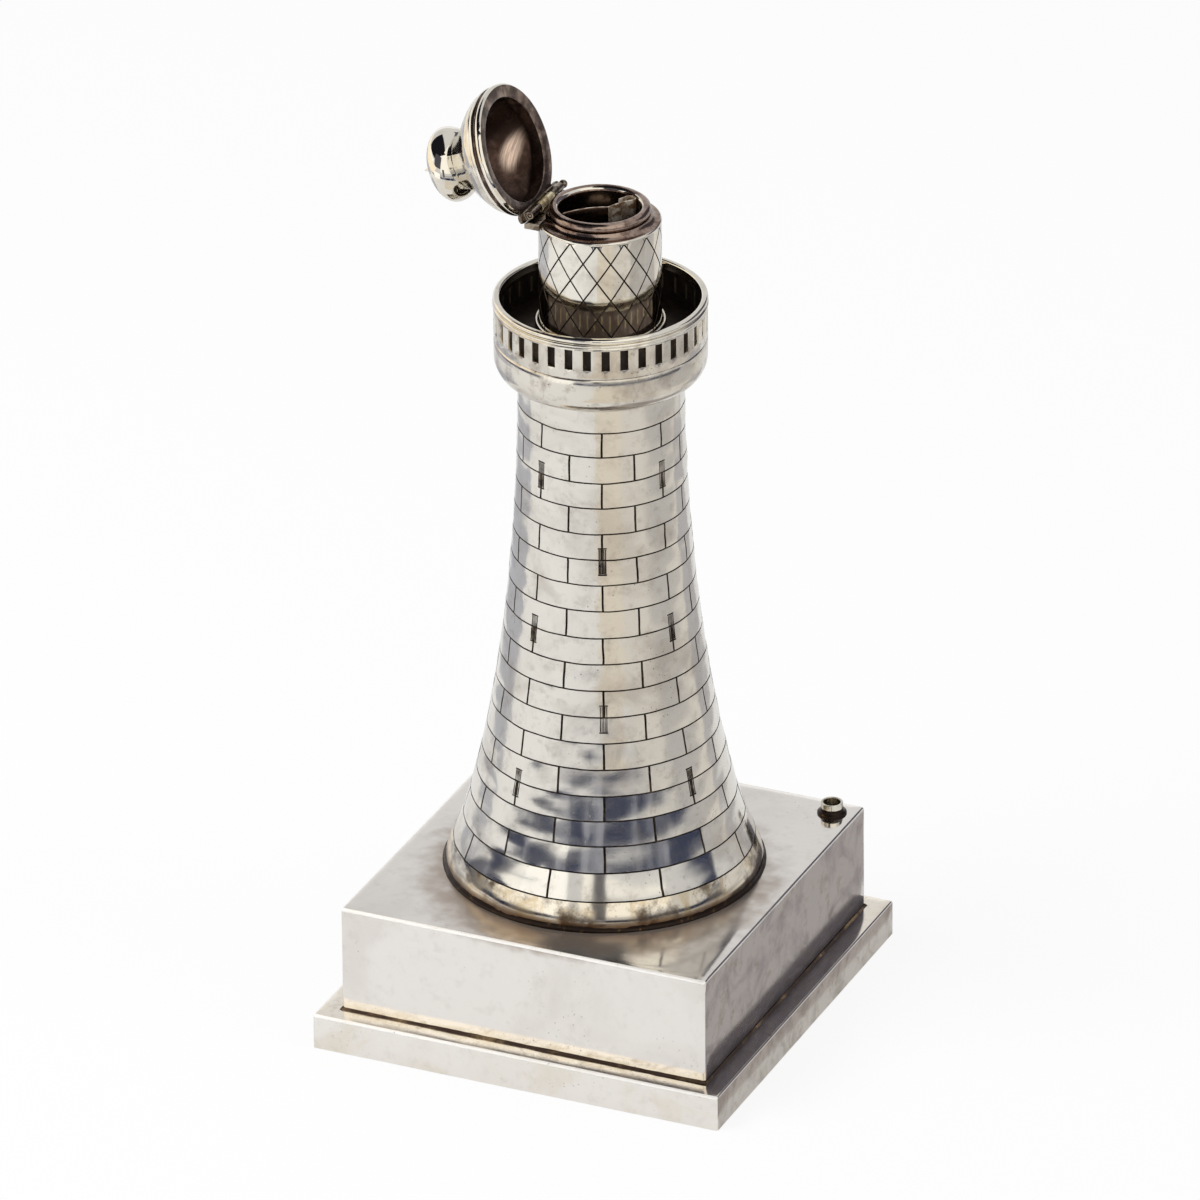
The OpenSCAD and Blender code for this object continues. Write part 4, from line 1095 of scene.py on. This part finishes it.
def buildWandSocket(wandX, wandY, wandTop, wandLow, wandBore, wandWall, wandLip, wandLipIn,
                    washerR, washerT, washerHand, coneH, **others):
    outer = wandBore + wandWall
    place = Matrix.Translation(Vector((wandX, wandY, 0)) * mm)
    profile = [(0, wandLow), (outer, wandLow), (outer, wandTop - wandLip)]
    profile += arcPoints((outer - wandLip, wandTop - wandLip), wandLip, 0, 90, 4)
    profile += arcPoints((wandBore + wandLipIn, wandTop - wandLipIn), wandLipIn, 90, 180, 4)
    profile += [(wandBore, wandLow + wandWall), (0, wandLow + wandWall)]
    tube = turnProfile("wandSocket", profile, 64)
    settle(tube, place)
    finishPiece(tube, "base", ["wand_tube"], [gallerySilver])

    profile = [(outer, towerBase), (washerR, towerBase), (washerR, towerBase + washerT * 0.6)]
    profile += bezierPoints((washerR - 0.1, towerBase + washerT), (washerR - 0.4, towerBase + washerT * 1.4),
                            (outer + 0.1, towerBase + coneH * 0.6), (outer + 0.02, towerBase + coneH), 6)
    washer = turnProfile("wandWasher", closedRing(profile), 64)
    settle(washer, place)
    handRaise(washer, *washerHand, level=0.7)
    finishPiece(washer, "base", ["wand_washer"], [leadSolder], 60)


for build in (buildPlinth, buildFlange, buildPlinthSeam, buildTowerSeam, buildWandSocket):
    build(**baseShape)
print("base ready")


# the solids that keep their shape get a finish of their own
keptFinishes = {
    "bottom_plate": plainTin, "lantern_floor": plainTin, "font_can": plainTin, "font_top": plainTin,
    "wick_tube": plainTin, "wick": wickCotton, "font_packing": wickCotton,
}
for nodeName, finish in keptFinishes.items():
    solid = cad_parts[nodeName]
    if not solid.material_slots:
        solid.data.materials.append(finish)
    for slot in solid.material_slots:
        slot.material = finish


# pale paper, soft lamps and the cards of a small photo tent that the silver mirrors, in metres and degrees
studio = {
    # the share of lit paper in the glowing floor, seen by the camera and in the silver
    "floorW": 8.0, "floorColour": "#E6E6E6", "floorLit": 0.12, "floorLitMirror": 0.83, "glow": "#FFFFFF",
    # the sky's strength as light and in the silver
    "worldLit": 0.55, "worldMirror": 0.78,
    # lamps: turn, rise, reach, width, height, power
    "lamps": {"windowLamp": (-50, 52, 1.1, 0.6, 0.6, 9.0), "fillLamp": (95, 45, 1.3, 0.5, 0.7, 3.0)},
    # standing cards: turn, rise and reach from a place, the place, width, height, colour, strength
    "cards": {
        "cardLeftWindow": (-64, 10, 0.62, (0, 0, 0.12), 0.66, 0.62, "#FFFDF8", 1.3),
        "cardRightWindow": (40, 33, 0.8, (0, 0, 0.12), 1.05, 0.76, "#FFFCF4", 1.25),
        "cardBackPaper": (-136, 2, 0.9, (0, 0, 0.12), 1.0, 0.5, "#FFFFFF", 1.05),
        "cardOpenTop": (-50, 68, 0.9, (0, 0, 0.12), 1.5, 1.0, "#1C1B20", 1.0),
        "cardOpenFront": (-10, 29, 0.4, (0, 0, 0.2), 0.26, 0.3, "#57555F", 1.0),
        "cardLens": (20, 14, 0.52, (0, 0, 0.06), 0.08, 0.2, "#6A686C", 1.0),
        "cardDarkCorner": (150, 24, 0.9, (0, 0, 0.09), 0.9, 0.5, "#5F5D68", 1.0),
        "cardLedge": (-24, 22.6, 0.25, (0, -0.04, 0.01), 0.17, 0.105, "#FFFEFA", 1.38),
        "cardLowWindow": (-80, 48, 0.17, (0, -0.03, 0.03), 0.2, 0.1, "#FFF3DE", 1.25),
        "cardRightTop": (85, 64, 0.85, (0, 0, 0.12), 0.5, 0.2, "#FFFCF4", 1.2),
    },
    # cards on the floor, which paint shade onto the paper for the silver alone: turn and reach from the
    # lighter, width, depth, colour
    "floorCards": {
        "cardRightDusk": (112, 0.72, 0.34, 0.95, "#C9C7C6"),
        "cardRightEdge": (150, 0.215, 0.12, 0.09, "#C2C1C4"),
        "cardLeftEdge": (-108, 0.215, 0.2, 0.09, "#C4C6CE"),
        "cardLeftDusk": (-110, 0.75, 0.4, 0.9, "#CFD0D8"),
        "cardFrontFloor": (33, 0.3, 0.16, 0.36, "#F1E9DC"),
    },
    # the same, but square to the plinth: place, width, depth, colour
    "sideCards": {
        "cardRightShade": ((0.062, 0.03, 0.001), 0.04, 0.14, "#AFAAA8"),
        "cardRightFloor": ((0.33, 0.02, 0.0008), 0.42, 0.6, "#EAE6E0"),
    },
}


def rayKinds(tree):
    # whether a ray comes from the camera, and whether it has left a mirror or a glass
    rays = addNode(tree, "LightPath").outputs
    bounced = addNode(tree, "Math", (rays["Is Glossy Ray"], rays["Is Transmission Ray"]), operation="MAXIMUM")
    return rays["Is Camera Ray"], bounced


def buildStudio():
    clearSelection()
    bpy.ops.mesh.primitive_plane_add(size=studio["floorW"])
    floor = bpy.context.object
    floor.name = "studioFloor"
    material, tree = newFinish("pearlPaperFloor")  # matt paper, nearly white, with a faint soft shadow
    lit = addNode(tree, "BsdfDiffuse", {"Color": srgb(studio["floorColour"])})
    glow = addNode(tree, "Emission", {"Color": srgb(studio["glow"]), "Strength": 1.0})
    direct, bounced = rayKinds(tree)
    white = addNode(tree, "Math", (bounced, 1 - studio["floorLitMirror"]), operation="MULTIPLY")
    seen = addNode(tree, "Math", (direct, 1 - studio["floorLit"]), operation="MULTIPLY")
    share = addNode(tree, "Math", (white, seen), operation="MAXIMUM")
    addNode(tree, "OutputMaterial", {"Surface": addNode(tree, "MixShader", (share, lit, glow))})
    floor.data.materials.append(material)

    world = bpy.data.worlds.new("paleStudio")
    bpy.context.scene.world = world
    world.use_nodes = True
    tree = world.node_tree
    tree.nodes.clear()
    direct, bounced = rayKinds(tree)
    unseen = addNode(tree, "MapRange", {"Value": bounced, "To Min": studio["worldLit"],
                     "To Max": studio["worldMirror"]})
    level = addNode(tree, "Math", (unseen, direct), operation="MAXIMUM")
    sky = addNode(tree, "Background", {"Color": srgb(studio["glow"]), "Strength": level})
    addNode(tree, "OutputWorld", {"Surface": sky})


def aim(turn, rise, reach, target):
    turn, rise = math.radians(turn), math.radians(rise)
    back = Vector((math.sin(turn) * math.cos(rise), -math.cos(turn) * math.cos(rise), math.sin(rise)))
    side = Vector((math.cos(turn), math.sin(turn), 0))
    matrix = Matrix((side, back.cross(side), back)).transposed().to_4x4()
    matrix.translation = Vector(target) + back * reach
    return matrix


def paintCard(card, tree, material, colour, strength=1.0):
    # a card of even or clouded colour, which only the silver sees
    glow = addNode(tree, "Emission", {"Color": colour, "Strength": strength})
    addNode(tree, "OutputMaterial", {"Surface": glow})
    card.data.materials.append(material)
    for kind in ("camera", "diffuse", "shadow", "transmission", "volume_scatter"):
        setattr(card, "visible_" + kind, False)


def roomCard(name, matrix, width, height, colour, strength=1.0):
    clearSelection()
    bpy.ops.mesh.primitive_plane_add(size=1)
    card = bpy.context.object
    card.name = name
    settle(card, matrix @ Matrix.Diagonal((width, height, 1, 1)))
    material, tree = newFinish(name + "Paint")
    paintCard(card, tree, material, srgb(colour), strength)


tableEdge = {
    "reach": 500, "low": 12, "high": 80, "left": -105, "right": 112,
    "dark": "#273150", "pale": "#A2A5B2", "cloud": 1000 / 11,
}


def buildTableEdge(reach, low, high, left, right, dark, pale, cloud):
    # the dark room beyond the paper's near edge: a low strip bent round the front of the lighter
    strip = turnProfile("cardTableEdge", [(reach, low), (reach, high)], start=math.radians(left - 90),
                        sweep=[(48, math.radians(right - left))])
    material, tree = newFinish("roomPaint")
    place = addNode(tree, "TexCoord").outputs["Object"]
    cloudy = addNode(tree, "TexNoise", {"Vector": place, "Scale": 1 / (cloud * mm), "Detail": 3.0})
    share = addNode(tree, "MapRange", {"Value": cloudy, "From Min": 0.5, "From Max": 0.62})
    paintCard(strip, tree, material, addNode(tree, "Mix", (share, srgb(dark), srgb(pale)), data_type="RGBA"))


def softLamp(name, turn, rise, reach, width, height, power):
    lamp = bpy.data.lights.new(name, "AREA")
    lamp.shape = "RECTANGLE"
    lamp.size = width
    lamp.size_y = height
    lamp.energy = power
    obj = bpy.data.objects.new(name, lamp)
    bpy.context.scene.collection.objects.link(obj)
    obj.matrix_world = aim(turn, rise, reach, (0, 0, 0.09))
    obj.visible_glossy = False  # the silver mirrors the cards, not the lamps


buildStudio()
for name, (turn, rise, reach, target, *look) in studio["cards"].items():
    roomCard(name, aim(turn, rise, reach, target), *look)
for name, (turn, reach, *look) in studio["floorCards"].items():
    roomCard(name, aim(turn, 0, reach, (0, 0, 0.001)) @ Matrix.Rotation(math.radians(-90), 4, "X"), *look)
for name, (place, *look) in studio["sideCards"].items():
    roomCard(name, Matrix.Translation(place), *look)
buildTableEdge(**tableEdge)
for name, lampPlace in studio["lamps"].items():
    softLamp(name, *lampPlace)

# the photo's camera looks at a point beside and above the middle: angles in degrees, reach and farthest in
# metres, the rest in mm
cameraShape = {"turn": 23.97, "rise": 26.74, "reach": 2.4, "roll": -0.43, "side": -0.48, "height": 79.83,
               "lens": 399.33, "sensor": 36.0, "farthest": 20.0}
cameraData = bpy.data.cameras.new("photoCamera")
cameraData.lens = cameraShape["lens"]
cameraData.sensor_width = cameraShape["sensor"]
cameraData.clip_end = cameraShape["farthest"]
camera = bpy.data.objects.new("photoCamera", cameraData)
bpy.context.scene.collection.objects.link(camera)
turn = math.radians(cameraShape["turn"])
lookAt = Vector((math.cos(turn) * cameraShape["side"], math.sin(turn) * cameraShape["side"],
                 cameraShape["height"])) * mm
camera.matrix_world = (aim(cameraShape["turn"], cameraShape["rise"], cameraShape["reach"], lookAt)
                       @ Matrix.Rotation(math.radians(cameraShape["roll"]), 4, "Z"))
bpy.context.scene.camera = camera
bpy.context.scene.view_settings.view_transform = "Standard"
print("studio ready")
